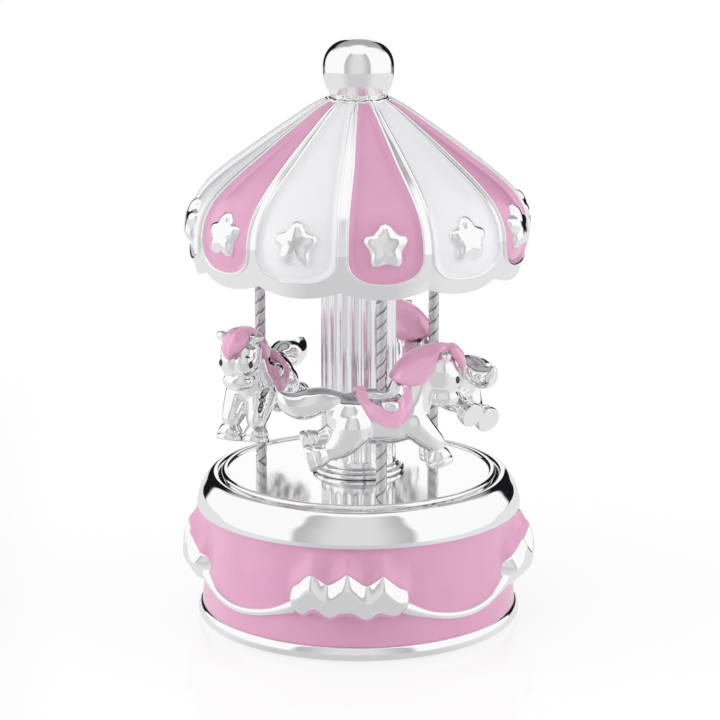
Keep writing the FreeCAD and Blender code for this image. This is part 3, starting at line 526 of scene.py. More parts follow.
def petal_half(height, white):
    """Half the width of a petal, a set share of its gore. White petals are wider than pink ones."""
    radius = roof_radius(height)
    low_down = step(28, 47, radius)
    pink_share = PINK_HIGH + (PINK_LOW - PINK_HIGH) * low_down
    white_share = WHITE_HIGH + (WHITE_LOW - WHITE_HIGH) * low_down
    return np.where(white, white_share, pink_share) * radius * math.sin(PITCH / 2)


def inside_petal(angle, height):
    """Millimetres from the petal's edge, positive inside, and the angle within the gore."""
    gore = np.round((angle - FIRST_GORE) / PITCH)
    local, white = angle - FIRST_GORE - gore * PITCH, gore % 2
    across = np.abs(roof_radius(height) * np.sin(local))
    wide, drop = petal_half(PETAL_ARCH, white), PETAL_ARCH - PETAL_FOOT
    down = np.clip(PETAL_ARCH - height, 0, None) / drop
    share = ((across / wide) ** PETAL_SQUARE + down ** PETAL_SQUARE) ** (1 / PETAL_SQUARE)
    low = (1 - share) * 0.5 * (wide + drop)
    return np.where(height > PETAL_ARCH, petal_half(height, white) - across, low), local


def roof_relief(angle, height):
    """How far the silver stands out from the plain roof line."""
    deep, local = inside_petal(angle, height)
    low_enough = step(ROOF_TOP, 149.0, height)
    rib = step(RIB_WIDE, 0.0, deep) * RIB_HIGH * (0.35 + 0.65 * low_enough)
    crown = CROWN * np.cos(local * GORES / 2) * step(HEM_Z, 114, height) * low_enough
    return rib + crown - CROWN


print("roof across in mm:", 2 * roof_line[:, 0].max())

# %% Roof skin
SCALLOP, WALL = 2.2, 1.0
lining = [tuple(p - WALL * n) for p, n in zip(roof_line[::6], roof_normal[::6])]
roof = lathe([*map(tuple, roof_line), *reversed(lining), tuple(roof_line[0])], GORES * 44)
angle, radius, height = polar(points_of(roof))
relief = roof_relief(angle, height)
out_r, out_z = roof_out(height)
local = inside_petal(angle, height)[1]
drawn_up = SCALLOP * (np.abs(local) / (PITCH / 2)) ** 2 * step(110.0, HEM_Z, height)
set_points(roof, from_polar(angle, radius + relief * out_r, height + relief * out_z + drawn_up))
hand_in(roof, "canopy_silver", "carousel", "silver_plate", silver, "canopy")

# %% Enamel petals, and white petals painted as a reflection
ROUND_PART, GLAZE_T, GLAZE_LIFT, GLAZE_CROWN = 0.34, 0.45, 0.14, 0.16


def petal_place(u, v, white):
    """Angle from the middle of the gore, and height, of a place across (u) and up (v) the petal."""
    curl = np.clip(v / ROUND_PART, 0, 1) * math.pi / 2
    low = PETAL_ARCH - (PETAL_ARCH - PETAL_FOOT) * np.cos(curl) ** (2 / PETAL_SQUARE)
    straight = np.clip((v - ROUND_PART) / (1 - ROUND_PART), 0, 1)
    high = PETAL_ARCH + (PETAL_TOP - PETAL_ARCH) * straight
    height = np.where(v < ROUND_PART, low, high)
    foot = petal_half(PETAL_ARCH, white) * np.sin(curl) ** (2 / PETAL_SQUARE)
    half = np.where(v < ROUND_PART, foot, petal_half(height, white))
    return np.arcsin(np.clip(u * half / roof_radius(height), -1, 1)), height


def on_roof(angle, height, lift):
    """Points on the roof's relief, lifted off it by so many millimetres."""
    lift = lift + roof_relief(angle, height)
    out_r, out_z = roof_out(height)
    return from_polar(angle, roof_radius(height) + lift * out_r, height + lift * out_z)


def weld(piece):
    """Merges doubles, turns the faces outwards and shades them smooth."""
    only(piece)
    bpy.ops.object.mode_set(mode="EDIT")
    bpy.ops.mesh.select_all(action="SELECT")
    bpy.ops.mesh.remove_doubles(threshold=0.01 * MM)
    bpy.ops.mesh.normals_make_consistent(inside=False)
    bpy.ops.object.mode_set(mode="OBJECT")
    bpy.ops.object.shade_smooth()


def petal_patch(k):
    """The panel of one gore, a thin patch that is highest along its middle: pink enamel, or a white
    painted reflection on the silver gores.
    """
    rest()
    bpy.ops.mesh.primitive_grid_add(x_subdivisions=48, y_subdivisions=96, size=2)
    patch = bpy.context.object
    uv = points_of(patch) * MM
    u, v = uv[:, 0], (uv[:, 1] + 1) / 2
    angle, height = petal_place(u, v, k % 2)
    angle += FIRST_GORE + k * PITCH
    set_points(patch, on_roof(angle, height, GLAZE_LIFT + GLAZE_CROWN * np.clip(1 - u * u, 0, 1)))
    weld(patch)
    thick = patch.modifiers.new("enamel", "SOLIDIFY")
    thick.thickness, thick.offset = GLAZE_T * MM, -1
    return patch


for k in range(GORES):
    # White gores are silver plate; their white patch is a painted reflection.
    name, slot, finish, node = (("petal_white", "silver_plate", white, "canopy") if k % 2 else
                                ("petal_pink", "pink_enamel", pink, "canopy_enamel"))
    hand_in(petal_patch(k), f"{name}_{k // 2 + 1}", "carousel", slot, finish, node)

# %% [markdown]
# A thin silver edge stands up round every petal, as in all enamel work, to keep the glaze in. It is a
# cord along the petal's outline, half sunk in the roof, and it gives the gores their crisp lines.

# %% Silver edges
EDGE_R, EDGE_LIFT, EDGE_RINGS, CORD_SIDES = 0.45, 0.12, 400, 20


def cord(line, thick, rings):
    """A round cord along a line of points; thick is its radius, for all or for each of them."""
    rest()
    bpy.ops.mesh.primitive_grid_add(x_subdivisions=rings, y_subdivisions=CORD_SIDES, size=2)
    piece = bpy.context.object
    uv = points_of(piece) * MM
    place, around = (uv[:, 0] + 1) / 2, uv[:, 1] * math.pi
    ahead = np.gradient(line, axis=0)
    ahead /= np.linalg.norm(ahead, axis=1)[:, None]
    away = line * (1, 1, 0)
    away -= ahead * np.sum(away * ahead, axis=1)[:, None]
    away /= np.linalg.norm(away, axis=1)[:, None]
    spots = np.linspace(0, 1, len(line))
    middle, out, over = (np.stack([np.interp(place, spots, each[:, k]) for k in range(3)], 1)
                         for each in (line, away, np.cross(ahead, away)))
    wide = np.interp(place, spots, thick * np.ones(len(line)))[:, None]
    set_points(piece, middle + wide * (out * np.cos(around)[:, None] + over * np.sin(around)[:, None]))
    weld(piece)
    return piece


def copy_of(piece):
    """A copy of a piece, with a mesh of its own."""
    copy = piece.copy()
    copy.data = piece.data.copy()
    bpy.context.scene.collection.objects.link(copy)
    return copy


def ring_copies(piece, count, first, name, body, slot, finish, *nodes):
    """Copies of a piece, set evenly round the axis, each for its own node or all for the only one."""
    for k in range(count):
        copy = copy_of(piece)
        copy.data.transform(Matrix.Rotation(first + k * 2 * math.pi / count, 4, "Z"))
        hand_in(copy, f"{name}_{k + 1}", body, slot, finish, *nodes[k:k + 1] or nodes)
    rest()
    bpy.data.objects.remove(piece)


up, over_top = np.linspace(0, 1, 600), np.linspace(-1, 1, 60)
u = np.concatenate([-np.ones(len(up)), over_top, np.ones(len(up))])
v = np.concatenate([up, np.ones(len(over_top)), up[::-1]])
for is_white, name in ((0, "pink_edge"), (1, "white_edge")):
    angle, height = petal_place(u, v, is_white)
    edge = on_roof(FIRST_GORE + is_white * PITCH + angle, height, EDGE_LIFT)
    run = np.concatenate([[0], np.cumsum(np.linalg.norm(np.diff(edge, axis=0), axis=1))])
    even = np.linspace(0, run[-1], EDGE_RINGS + 1)
    edge = np.stack([np.interp(even, run, edge[:, k]) for k in range(3)], 1)
    ring_copies(cord(edge, EDGE_R, EDGE_RINGS), GORES // 2, 0.0, name, "carousel", "silver_plate",
                silver, "canopy")

# %% [markdown]
# ## Stars
#
# A puffy star sits low on every petal. It starts as a sphere. Its outline is drawn into five round
# points, and its height depends on how far a place is from that outline, so the sides roll over
# softly into a nearly flat top.

# %% Puffed stars
STAR_R, STAR_WAIST, STAR_POINTS = 6.6, 0.76, 5
STAR_HIGH, STAR_SUNK, STAR_Z, STAR_TILT = 2.6, 0.5, 118.8, math.radians(12)
rest()
bpy.ops.mesh.primitive_uv_sphere_add(segments=100, ring_count=40, radius=MM)
star = bpy.context.object
phi, reach, lift = polar(points_of(star))
tip = 0.5 + 0.5 * np.cos(STAR_POINTS * (phi - math.pi / 2))
outline = STAR_R * (STAR_WAIST + (1 - STAR_WAIST) * tip ** 1.2)
crown = np.sign(lift) * STAR_HIGH * np.clip(1 - reach ** 3.2, 0, 1) ** 0.55
set_points(star, np.stack([crown, reach * outline * np.cos(phi), reach * outline * np.sin(phi)], 1))
weld(star)
seat = Vector((float(roof_radius(STAR_Z)) - STAR_SUNK, 0, STAR_Z)) * MM
star.data.transform(Matrix.Translation(seat) @ Matrix.Rotation(-STAR_TILT, 4, "Y"))
ring_copies(star, GORES, FIRST_GORE, "star", "carousel", "silver_plate", silver, "canopy")

# %% [markdown]
# ## Finial
#
# The knob on the roof is a turned ball, a little squarer above its widest place than a true ball, and
# longer below it, where it runs into a short neck. It could be a squashed sphere, but a profile for
# the lathe gives the neck and the knob in one smooth line.

# %% Finial
KNOB_R, KNOB_Z, KNOB_RISE, KNOB_DROP, KNOB_SQUARE = 10.15, 161.3, 8.7, 12.4, 0.87
NECK_Z = 152.0
under = [(KNOB_R * math.cos(a), KNOB_Z - KNOB_DROP * math.sin(a))
         for a in np.radians(np.linspace(37, 0, 24))]
over = [(KNOB_R * math.cos(a) ** KNOB_SQUARE, KNOB_Z + KNOB_RISE * math.sin(a) ** KNOB_SQUARE)
        for a in np.radians(np.linspace(0, 89, 52))]
neck = eased([(7.6, NECK_Z), (7.9, 152.9), under[0]], 6)
knob = lathe([(0.0, NECK_Z)] + neck + under[1:-1] + over + [(0.0, KNOB_Z + KNOB_RISE)], 160)
hand_in(knob, "finial_knob", "carousel", "silver_plate", silver, "finial")

# %% [markdown]
# ## Drum
#
# The drum is a silver casting with a bead foot and a round rim. Pink enamel fills the band between
# them. Four leaf clusters stand out of the band, and ropes hang from one to the next. The enamel
# flows a little way up over each cluster, so its band is pushed out above the leaves.

# %% Silver of the drum
BAND_TOP, WALL_IN, DECK_LOW, DECK_TOP, BUSH_R = 33.3, 43.0, 35.6, 38.0, 5.2
foot = [(WALL_IN, 0.0), (45.4, 0.0), (46.7, 0.4), (47.35, 1.3), (47.4, 2.2), (47.1, 3.2), (46.6, 4.0),
        (45.6, 4.35)]
band = [(45.6, 4.35), (45.0, 12.0), (44.8, 20.0), (45.2, 28.0), (45.9, BAND_TOP)]
rim = [(45.9, BAND_TOP), (47.2, BAND_TOP), (47.5, 33.9), (47.25, 35.6), (46.5, 38.2), (45.1, 40.6),
       (43.9, 42.2), (42.7, 42.95), (41.7, 42.9), (41.05, 42.2), (40.9, 41.2), (40.9, DECK_TOP)]
under_deck = [(BUSH_R, DECK_LOW), (WALL_IN, DECK_LOW), (WALL_IN, 0.0)]
outside = eased(foot, 6) + eased(band, 4)[1:] + eased(rim, 8)[1:]
drum = lathe(under_deck + outside + [(BUSH_R, DECK_TOP), (BUSH_R, DECK_LOW)], 256)
hand_in(drum, "drum_silver", "base", "silver_plate", silver, "base_drum")

# %% Band, leaf and swag outlines
GLAZE_LOW = 4.15
BAND = [(46.3, GLAZE_LOW), (45.55, 12.0), (45.3, 20.5), (45.65, 27.5), (46.5, BAND_TOP)]
band_line = np.array(eased(BAND, 12))
CLUSTERS = 4
QUARTER = 2 * math.pi / CLUSTERS
PEAKS, PEAK_WIDE = (-9.7, -0.3, 8.9), 2.7
CREST = [(-19.0, 18.4), (-16.4, 20.3), (-13.4, 22.7), (-11.4, 24.9), (PEAKS[0], 26.0), (-7.9, 24.9),
         (-5.4, 23.3), (-2.4, 25.2), (PEAKS[1], 26.9), (1.8, 25.2), (4.6, 23.2), (7.2, 24.8),
         (PEAKS[2], 26.1), (10.5, 24.6), (13.2, 22.0), (16.4, 20.3), (19.0, 18.4)]
HEMLINE = [(-19.0, 16.2), (-16.4, 14.9), (-12.9, 12.6), (-9.9, 13.6), (-5.4, 12.2), (-0.7, 13.2),
           (4.9, 11.8), (8.5, 13.0), (12.6, 12.6), (15.6, 14.8), (19.0, 16.2)]
LEAF_SWELL, LEAF_ROUND, BELLY = 6.7, 21.5, 0.6
SWAG_SPAN, SWAG_ENDS, SWAG_SAG = math.radians(29.0), 16.8, 6.3


def band_radius(height):
    """Radius of the plain enamel band."""
    return np.interp(height, band_line[:, 1], band_line[:, 0])


def leaf_line(points, along):
    """Height of an outline of the leaves, at a place along the band."""
    line = np.array(eased(points, 10))
    return np.interp(along, line[:, 0], line[:, 1])


def leaf_middle(along):
    """1 over most of a cluster, falling to 0 at both ends."""
    return step(17, 13, np.abs(along))


def leaf_folds(along):
    """Ridges that run down from the three peaks of a cluster, with valleys between them."""
    return sum(np.exp(-((along - peak) / PEAK_WIDE) ** 2) for peak in PEAKS)


def leaf_rise(along, up):
    """How far a leaf cluster swells out of the band, at a share of its height."""
    swell = LEAF_SWELL * np.sqrt(np.clip(1 - (along / LEAF_ROUND) ** 2, 0, 1))
    swell = swell * step(20.0, 15.0, np.abs(along))
    low = 0.2 + 0.8 * np.sin(np.clip(up / BELLY, 0, 1) * math.pi / 2) ** 0.8
    high = 1 - 0.34 * np.clip((up - BELLY) / (1 - BELLY), 0, 1) ** 1.6
    folds = (0.75 * leaf_folds(along) - 0.45) * step(0.35, 1.0, up) * leaf_middle(along)
    return swell * np.where(up < BELLY, low, high) + folds


def swag_height(part):
    """Height of a rope, at a part of its span that runs from -1 to 1."""
    return SWAG_ENDS - SWAG_SAG * (1 - part * part)


print("leaf height in mm:", leaf_line(CREST, 0.0) - leaf_line(HEMLINE, 0.0))

# %% Enamel band with its flares
LIP_SHARE, LIP_BEHIND, LIP_FADE = 0.78, 0.75, 5.0
PEAK_OUT, PEAK_FADE = 1.1, 1.8
MENISCUS, MENISCUS_WIDE = 0.45, 1.9
band_inside = [(45.4, BAND_TOP), (44.9, 20.5), (45.2, GLAZE_LOW)]


def enamel_rise(angle, height):
    """How far the enamel stands out of its band, up to and over the leaves and along the ropes."""
    local = (angle + QUARTER / 2) % QUARTER - QUARTER / 2
    along = band_radius(height) * np.sin(local)
    crest, hem = leaf_line(CREST, along), leaf_line(HEMLINE, along)
    lip = np.clip(LIP_SHARE * leaf_rise(along, 0.35) - LIP_BEHIND, 0, None)
    lip = lip * step(18.5, 14.0, np.abs(along))
    peaks = PEAK_OUT * np.clip(leaf_folds(along), 0, 1) * leaf_middle(along)
    over = np.clip(height - crest, 0, None)
    above = lip * np.exp(-(over / LIP_FADE) ** 1.7) + peaks * np.exp(-(over / PEAK_FADE) ** 2)
    below = np.clip((height - hem) / (crest - hem), 0, 1) ** 2
    part = (np.mod(angle, QUARTER) - QUARTER / 2) / SWAG_SPAN
    near = np.abs(height - swag_height(np.clip(part, -1, 1)))
    meniscus = MENISCUS * np.exp(-(near / MENISCUS_WIDE) ** 2) * step(1.0, 0.8, np.abs(part))
    flow = np.where(height > crest, above, (lip + peaks) * below) + meniscus
    return flow * step(BAND_TOP, 31.0, height)


enamel = lathe([*map(tuple, band_line), *band_inside, tuple(band_line[0])], 480)
angle, radius, height = polar(points_of(enamel))
# Only the outer face flows; the face on the silver stays round.
outer = radius > band_radius(height) - 0.2
grown = radius + np.where(outer, enamel_rise(angle, height), 0)
set_points(enamel, from_polar(angle, grown, height))
hand_in(enamel, "band_enamel", "base", "pink_enamel", pink, "base_enamel")

# %% Silver leaf clusters
LEAF_HALF, LEAF_WALL, LEAF_SUNK = 18.6, 0.8, 1.2
TUCK, FACE_TOP = 0.06, 0.80
HEM_WAVE, HEM_PITCH, HEM_SHIFT = 0.30, 9.4, 5.2
rest()
bpy.ops.mesh.primitive_grid_add(x_subdivisions=170, y_subdivisions=110, size=2)
leaf = bpy.context.object
uv = points_of(leaf) * MM
along, row = uv[:, 0] * LEAF_HALF, (uv[:, 1] + 1) / 2
crest, hem = leaf_line(CREST, along), leaf_line(HEMLINE, along)
face = np.clip((row - TUCK) / (FACE_TOP - TUCK), 0, 1)
ledge = np.clip((row - FACE_TOP) / (1 - FACE_TOP), 0, 1)
height = hem + (crest - hem) * face
rise = leaf_rise(along, face)
wave = HEM_WAVE * np.cos(2 * math.pi * (along + HEM_SHIFT) / HEM_PITCH)
rise += wave * (1 - face) * leaf_middle(along)
free = step(0.0, TUCK, row) * step(LEAF_HALF, 14.6, np.abs(along))
reach = band_radius(height) - LEAF_SUNK + (rise + LEAF_SUNK) * free
reach -= ledge * (np.clip(rise, 0, None) + 1.0)
height = height + 0.5 * np.sin(math.pi * ledge) - 0.3 * ledge
turn = np.arcsin(along / band_radius(height))
set_points(leaf, from_polar(turn, reach, height))
weld(leaf)
soft = leaf.modifiers.new("cast_edges", "SMOOTH")
soft.factor, soft.iterations = 0.5, 3
thick = leaf.modifiers.new("wall", "SOLIDIFY")
thick.thickness, thick.offset = LEAF_WALL * MM, -1
settle(leaf)
ring_copies(leaf, CLUSTERS, 0.0, "leaf_cluster", "base", "silver_plate", silver, "base_drum")

# %% Swag ropes
ROPE_R, ROPE_SWELL, ROPE_PROUD, ROPE_RINGS = 1.10, 1.0, 0.35, 120
part = np.linspace(-1, 1, ROPE_RINGS + 1)
middle, turn = swag_height(part), QUARTER / 2 + part * SWAG_SPAN
rope = from_polar(turn, band_radius(middle) + ROPE_PROUD, middle)
thick = (ROPE_R + ROPE_SWELL * step(0.5, 0.92, np.abs(part))) * np.sqrt(1 - part ** 40)
ring_copies(cord(rope, thick, ROPE_RINGS), CLUSTERS, 0.0, "swag", "base", "silver_plate", silver,
            "base_drum")

# %% [markdown]
# ## Column, poles and bezel
#
# The column has twenty-four flutes with round ends. Each pole has two narrow grooves wound round it.
# Both start on the lathe, and the points are then drawn inwards along the flute or the groove.

# %% Fluted column and its plinth
COLUMN_R, COLUMN_LOW, COLUMN_TOP, MIRROR_Z = 10.9, 46.2, 110.0, 43.2
FLUTES, FLUTE_R, FLUTE_END, FLUTE_FLAT, FLUTE_LAND = 24, 1.22, 2.6, 0.5, 0.3
END_LONG, END_ROWS = 5.0, 20
ends = [COLUMN_LOW + END_LONG * k / END_ROWS for k in range(END_ROWS + 1)]
rows = ends + [60 + 6 * k for k in range(7)] + [COLUMN_TOP + COLUMN_LOW - z for z in reversed(ends)]
shaft = [(COLUMN_R, z) for z in rows]
column = lathe([(0.0, COLUMN_LOW)] + shaft + [(0.0, COLUMN_TOP)], FLUTES * 18)
angle, radius, height = polar(points_of(column))
pitch = 2 * math.pi / FLUTES
across = COLUMN_R * np.abs((angle + pitch / 2) % pitch - pitch / 2)
past = np.maximum(COLUMN_LOW + FLUTE_END - height, height - COLUMN_TOP + FLUTE_END)
away = np.hypot(across, np.clip(past, 0, None))
hollow = np.sqrt(np.clip(FLUTE_R ** 2 - away ** 2, 0, None)) - FLUTE_LAND
cut = FLUTE_FLAT * np.clip(hollow, 0, None)
set_points(column, from_polar(angle, radius - np.where(radius > COLUMN_R / 2, cut, 0), height))
hand_in(column, "column_silver", "carousel", "silver_plate", brushed, "column")
PLINTH = [(12.2, MIRROR_Z), (13.0, 43.35), (13.4, 43.95), (13.3, 44.6), (12.7, 45.0), (12.0, 45.15),
          (11.9, 45.5), (11.6, 45.9), (COLUMN_R, COLUMN_LOW)]
plinth = lathe([(0.0, MIRROR_Z)] + eased(PLINTH, 6) + [(0.0, COLUMN_LOW)], 160)
hand_in(plinth, "plinth_silver", "carousel", "silver_plate", silver, "column_plinth")

# %% Bezel round the mirror
BEZEL_IN, BEZEL_OUT, BEZEL_LOW = 38.32, 40.3, 41.0
BEZEL = [(BEZEL_IN, BEZEL_LOW), (BEZEL_IN, MIRROR_Z), (38.5, 43.6), (39.0, 43.85), (39.7, 43.75),
         (40.2, 43.3), (BEZEL_OUT, 42.6), (BEZEL_OUT, BEZEL_LOW), (BEZEL_IN, BEZEL_LOW)]
bezel = lathe(eased(BEZEL, 5), 224)
hand_in(bezel, "bezel_silver", "carousel", "silver_plate", silver, "mirror_bezel")

# %% Wound poles
POLES, POLE_CIRCLE, POLE_FIRST = 3, 30.3, math.radians(-74.5)
POLE_R, POLE_LOW, POLE_TOP = 1.55, 41.0, 114.2
WIND, GROOVE_DEEP, GROOVE_WIDE = 3.75, 0.36, 0.085
rod = [(POLE_R, z) for z in np.linspace(POLE_LOW, POLE_TOP, 330)]
pole = lathe([(0.0, POLE_LOW)] + rod + [(0.0, POLE_TOP)], 40)
angle, radius, height = polar(points_of(pole))
phase = (height / WIND - angle / math.pi + 0.5) % 1 - 0.5
groove = np.where(radius > POLE_R / 2, np.exp(-(phase / GROOVE_WIDE) ** 2), 0)
set_points(pole, from_polar(angle, radius - GROOVE_DEEP * groove, height) + (POLE_CIRCLE, 0, 0))
# The groove attribute also tells the pole finish where to paint shade.
pole.data.attributes.new("groove", "FLOAT", "POINT").data.foreach_set("value", groove)
ring_copies(pole, POLES, POLE_FIRST, "pole_wound", "carousel", "silver_plate", satin,
            "pole_1", "pole_2", "pole_3")

# %% [markdown]
# ## Ponies
#
# A pony is a chubby casting. Balls of changing size are strung along the body, neck and legs and then
# remeshed into one skin, much like pressing lumps of clay together and smoothing them. Hooves keep
# their crisp rings, so they are turned on the lathe and joined on. The enamelled mane is a second
# lump, and the saddle cloth is a strip pressed onto the body. A pony is built over the axis, facing
# along x, and set down three times at the end.

# %% Clay helpers
BALL_GAP = 0.25
PONY_GRAIN, PONY_PASSES = 0.38, 12
MANE_GRAIN, MANE_PASSES = 0.34, 14
BELL = [(0.62, 0.0), (0.76, 0.14), (0.90, 0.36), (0.94, 0.54), (0.88, 0.59), (0.94, 0.64), (1.0, 0.72),
        (1.0, 0.9), (0.96, 0.98), (0.90, 1.0)]


def clay(strings, grain, passes):
    """One skin round strings of balls, each ball given as length, side, height and radius."""
    rest()
    bpy.ops.mesh.primitive_ico_sphere_add(subdivisions=4, radius=1)
    lump = bpy.context.object
    ball = points_of(lump) * MM
    faces = np.array([face.vertices for face in lump.data.polygons])
    balls = []
    for string in strings:
        line = np.array(eased(string, 3))
        for a, b in zip(line, line[1:]):
            count = max(1, int(np.linalg.norm(a[:3] - b[:3]) / (BALL_GAP * max(a[3], b[3]))))
            balls += [a + (b - a) * k / count for k in range(count)]
        balls.append(line[-1])
    spots = np.concatenate([ball * (r * MM) + np.array((u, w, z)) * MM for u, w, z, r in balls])
    sides = np.concatenate([faces + k * len(ball) for k in range(len(balls))])
    pressed = bpy.data.meshes.new("lump")
    pressed.from_pydata(spots, [], sides)
    lump.data = pressed
    skin = lump.modifiers.new("skin", "REMESH")
    skin.mode, skin.voxel_size = "VOXEL", grain * MM
    soft = lump.modifiers.new("smooth", "SMOOTH")
    soft.factor, soft.iterations = 0.5, passes
    settle(lump)
    bpy.ops.object.shade_smooth()
    return lump


def mirrored(strings):
    """The strings of one side, and the same on the other side."""
    return strings + [[(u, -w, z, r) for u, w, z, r in string] for string in strings]


def hoof(ankle, sole, wide):
    """A hoof from the ankle to the middle of its sole: a bell with one ring cut round it."""
    line = Vector(sole) - Vector(ankle)
    outline = [(wide * r, line.length * h) for r, h in eased(BELL, 4)]
    piece = lathe([(0.0, 0.0)] + outline + [(0.0, line.length)], 56)
    aimed = line.to_track_quat("Z", "Y").to_matrix().to_4x4()
    piece.data.transform(Matrix.Translation(Vector(ankle) * MM) @ aimed)
    weld(piece)
    return piece


def joined(pieces):
    """Joins pieces into the first of them."""
    rest()
    for piece in pieces:
        piece.select_set(True)
    bpy.context.view_layer.objects.active = pieces[0]
    bpy.ops.object.join()
    return pieces[0]


print("clay:", clay.__doc__)

# %% Silver pony
trunk = [[(-9.0, 0, 67.3, 7.1), (-4.0, 0, 66.4, 7.0), (1.5, 0, 66.0, 7.0), (6.2, 0, 67.2, 7.0),
          (8.4, 0, 70.6, 5.8), (10.0, 0, 75.0, 5.0), (12.8, 0, 80.0, 4.6)]]
tail = [[(-10.6, 0, 70.6, 3.6), (-14.3, 0.4, 72.2, 3.2), (-17.0, 0.9, 72.4, 3.7),
         (-20.0, 1.4, 71.6, 4.3), (-22.6, 1.9, 70.9, 4.1), (-25.4, 2.6, 71.4, 3.2),
         (-27.1, 3.0, 72.5, 2.2), (-28.5, 3.2, 74.4, 0.7)]]
skull = [[(16.4, 1.2, 80.0, 4.9), (17.0, 1.4, 78.0, 4.7)],
         [(18.4, 1.6, 77.8, 3.9), (18.4, 1.6, 77.0, 3.9)]]
muzzle = [[(16.2, 1.8, 71.8, 2.5), (18.4, 2.4, 71.8, 2.5), (19.6, 1.2, 71.7, 2.5),
           (19.8, 0, 71.7, 2.5)]]
ear = [[(17.3, 4.0, 84.2, 1.7), (17.3, 5.6, 84.7, 1.5), (17.3, 6.8, 85.0, 0.7)]]
fore_leg = [[(8.8, 3.2, 65.2, 4.6), (12.0, 3.6, 61.8, 3.8), (14.4, 3.8, 59.6, 3.0),
             (14.9, 3.9, 57.4, 2.3)]]
hind_legs = [[(-8.8, -3.0, 65.2, 5.8), (-11.2, -3.2, 61.4, 4.4), (-13.8, -2.9, 59.2, 3.2),
              (-16.6, -2.5, 57.9, 2.4)],
             [(-8.8, 3.0, 65.2, 5.8), (-11.0, 3.2, 62.6, 4.4), (-13.8, 3.5, 61.4, 3.2),
              (-17.0, 3.9, 60.2, 2.4)]]
saddle = mirrored([[(0.6, 5.2, 71.2, 2.3), (2.2, 5.4, 70.9, 2.2)]]) + [
    [(3.6, 0, 74.8, 2.0), (4.0, 0, 77.0, 1.5)],
    [(-7.0, 0, 73.4, 1.9), (-3.4, 0, 73.0, 2.4), (0.4, 0, 72.4, 2.6), (3.0, 0, 73.4, 2.2)]]
head = mirrored(skull + muzzle + ear)
pony = clay(trunk + tail + head + mirrored(fore_leg) + hind_legs + saddle,
            PONY_GRAIN, PONY_PASSES)
hooves = [hoof((14.8, 3.9 * s, 57.8), (16.1, 4.0 * s, 53.2), 3.9) for s in (-1, 1)]
hooves += [hoof((-16.0, -2.6, 58.1), (-21.8, -1.9, 56.3), 3.9),
           hoof((-16.4, 3.8, 60.4), (-21.7, 4.6, 58.8), 3.7)]
pony = joined([pony, *hooves])
print("pony faces:", len(pony.data.polygons))

# %% Mane, forelock and eyes
RIDGE = [(2.9, 0, 78.3, 0.7), (5.9, 0, 81.4, 1.6), (9.6, 0, 83.8, 2.1), (13.7, 0, 85.1, 2.2),
         (17.0, 0, 85.5, 2.1)]
SKIRT = [(2.9, 1.4, 78.2, 0.7), (5.0, 3.9, 77.7, 0.9), (8.2, 4.8, 77.2, 1.0), (11.4, 5.0, 78.6, 1.0),
         (14.6, 4.2, 84.4, 1.0)]
EYE_R, EYE_SHAPE, EYE_SPOT = 0.95, (0.75, 0.75, 1.15), (20.8, 4.5, 77.5)
sheet = []
for a, b in zip(np.array(eased(RIDGE, 4)), np.array(eased(SKIRT, 4))):
    bow = np.linspace(0, math.pi / 2, 6)[:, None]
    sheet.append(a + (b - a) * np.hstack([np.sin(bow), np.sin(bow), 1 - np.cos(bow), np.sin(bow)]))
topknot = [(22.6, -0.5, 83.2, 1.3), (20.0, 0, 85.0, 1.7), RIDGE[-1]]
locks = mirrored([[tuple(spot) for spot in row] for row in sheet])
fringe = [[(20.4, -1.6, 85.2, 1.8), (22.2, -2.2, 83.0, 1.5), (22.9, -2.2, 81.0, 1.1),
           (23.0, -1.6, 79.4, 0.6)],
          [(20.4, 0.4, 85.4, 1.8), (22.3, -0.2, 83.4, 1.6), (23.0, -0.9, 81.4, 1.2),
           (23.2, -1.3, 79.8, 0.7)],
          [(19.8, 2.2, 85.2, 1.6), (21.6, 1.6, 83.6, 1.4), (22.6, 0.6, 82.0, 1.1)]]
mane = clay([topknot, RIDGE] + locks + fringe, MANE_GRAIN, MANE_PASSES)
print("mane faces:", len(mane.data.polygons))
rest()
bpy.ops.mesh.primitive_uv_sphere_add(segments=24, ring_count=16, radius=EYE_R * MM)
eye = bpy.context.object
eye_points = points_of(eye) * EYE_SHAPE
both = [copy_of(eye), copy_of(eye)]
for copy, s in zip(both, (-1, 1)):
    set_points(copy, eye_points + np.array(EYE_SPOT) * (1, s, 1))
rest()
bpy.data.objects.remove(eye)
eyes = joined(both)
bpy.ops.object.shade_smooth()

# %% Saddle cloth
OUTER = [(-7.9, 0.0, 75.4), (-7.4, -4.0, 73.6), (-6.0, -6.2, 70.1), (-4.3, -6.8, 67.8),
         (-2.1, -7.0, 66.3), (0.5, -7.0, 65.3), (3.0, -7.0, 65.2), (5.3, -6.8, 66.4),
         (7.1, -6.2, 68.9), (7.9, -5.2, 72.4), (7.5, -4.8, 76.4)]
INNER = [(-4.8, 0.0, 75.4), (-4.2, -4.2, 74.4), (-2.9, -6.4, 72.6), (-1.3, -7.0, 70.9),
         (0.2, -7.2, 70.1), (1.6, -7.2, 69.9), (2.8, -7.0, 70.6), (3.7, -6.6, 72.2),
         (4.1, -5.8, 74.5), (3.9, -5.0, 76.0), (3.6, -4.6, 77.0)]
CLOTH_T, CLOTH_OFF = 1.0, 0.30


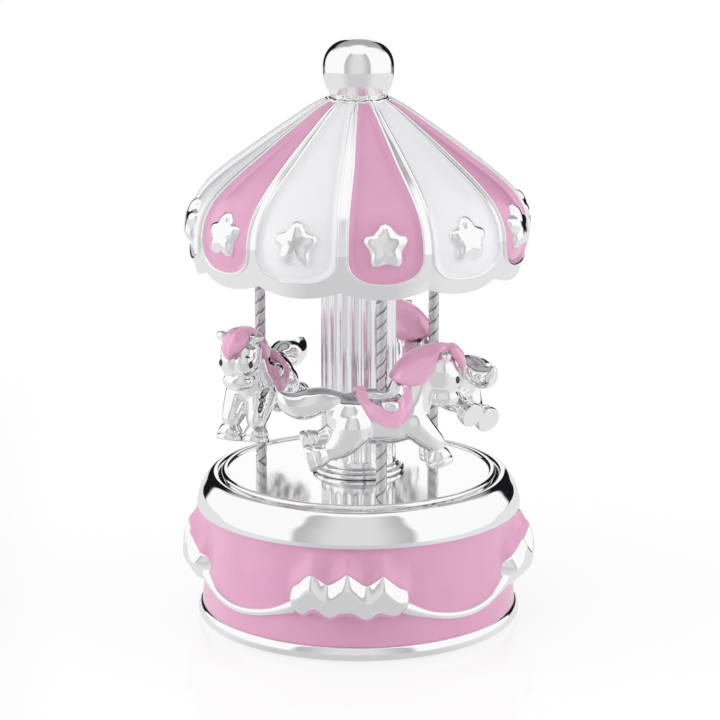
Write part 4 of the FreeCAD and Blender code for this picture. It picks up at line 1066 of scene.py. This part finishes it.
def cloth(side):
    """The saddle cloth on one side: a strip between its two edges, pressed onto the pony."""
    rest()
    bpy.ops.mesh.primitive_grid_add(x_subdivisions=80, y_subdivisions=16, size=2)
    strip = bpy.context.object
    uv = points_of(strip) * MM
    place, across = (uv[:, 0] + 1) / 2, (uv[:, 1] + 1) / 2
    outer, inner = np.array(eased(OUTER, 10)), np.array(eased(INNER, 10))
    grid = np.linspace(0, 1, len(outer))
    edge = np.stack([np.interp(place, grid, outer[:, k]) for k in range(3)], 1)
    core = np.stack([np.interp(place, grid, inner[:, k]) for k in range(3)], 1)
    shape = core + (edge - core) * across[:, None]
    shape[:, 1] *= side
    set_points(strip, shape)
    wrap = strip.modifiers.new("pressed_on", "SHRINKWRAP")
    wrap.target, wrap.wrap_method, wrap.offset = pony, "NEAREST_SURFACEPOINT", CLOTH_OFF * MM
    soft = strip.modifiers.new("ease", "SMOOTH")
    soft.factor, soft.iterations = 0.5, 14
    thick = strip.modifiers.new("cloth", "SOLIDIFY")
    thick.thickness, thick.offset = CLOTH_T * MM, 0.0
    round_off = strip.modifiers.new("round", "SUBSURF")
    round_off.levels = 1
    settle(strip)
    bpy.ops.object.mode_set(mode="EDIT")
    bpy.ops.mesh.select_all(action="SELECT")
    bpy.ops.mesh.normals_make_consistent(inside=False)
    bpy.ops.object.mode_set(mode="OBJECT")
    bpy.ops.object.shade_smooth()
    return strip


hair = joined([mane, cloth(1), cloth(-1)])
print("mane and cloth faces:", len(hair.data.polygons))

# %% Three ponies set down
for k in range(POLES):
    turn = POLE_FIRST + k * 2 * math.pi / POLES
    spot = Matrix.Translation(Vector((math.cos(turn), math.sin(turn), 0)) * POLE_CIRCLE * MM)
    set_down = spot @ Matrix.Rotation(turn + math.pi / 2, 4, "Z")
    # The mane and cloth use the lighter pink, which is painted light.
    for piece, name, slot, finish in ((pony, "pony", "silver_plate", silver),
                                      (hair, "pony_mane", "pink_enamel", glaze),
                                      (eyes, "pony_eyes", "pink_enamel", black)):
        copy = copy_of(piece)
        copy.data.transform(set_down)
        hand_in(copy, f"{name}_{k + 1}", "carousel", slot, finish, f"horse_{k + 1}")
rest()
for piece in (pony, hair, eyes):
    bpy.data.objects.remove(piece)

# %% [markdown]
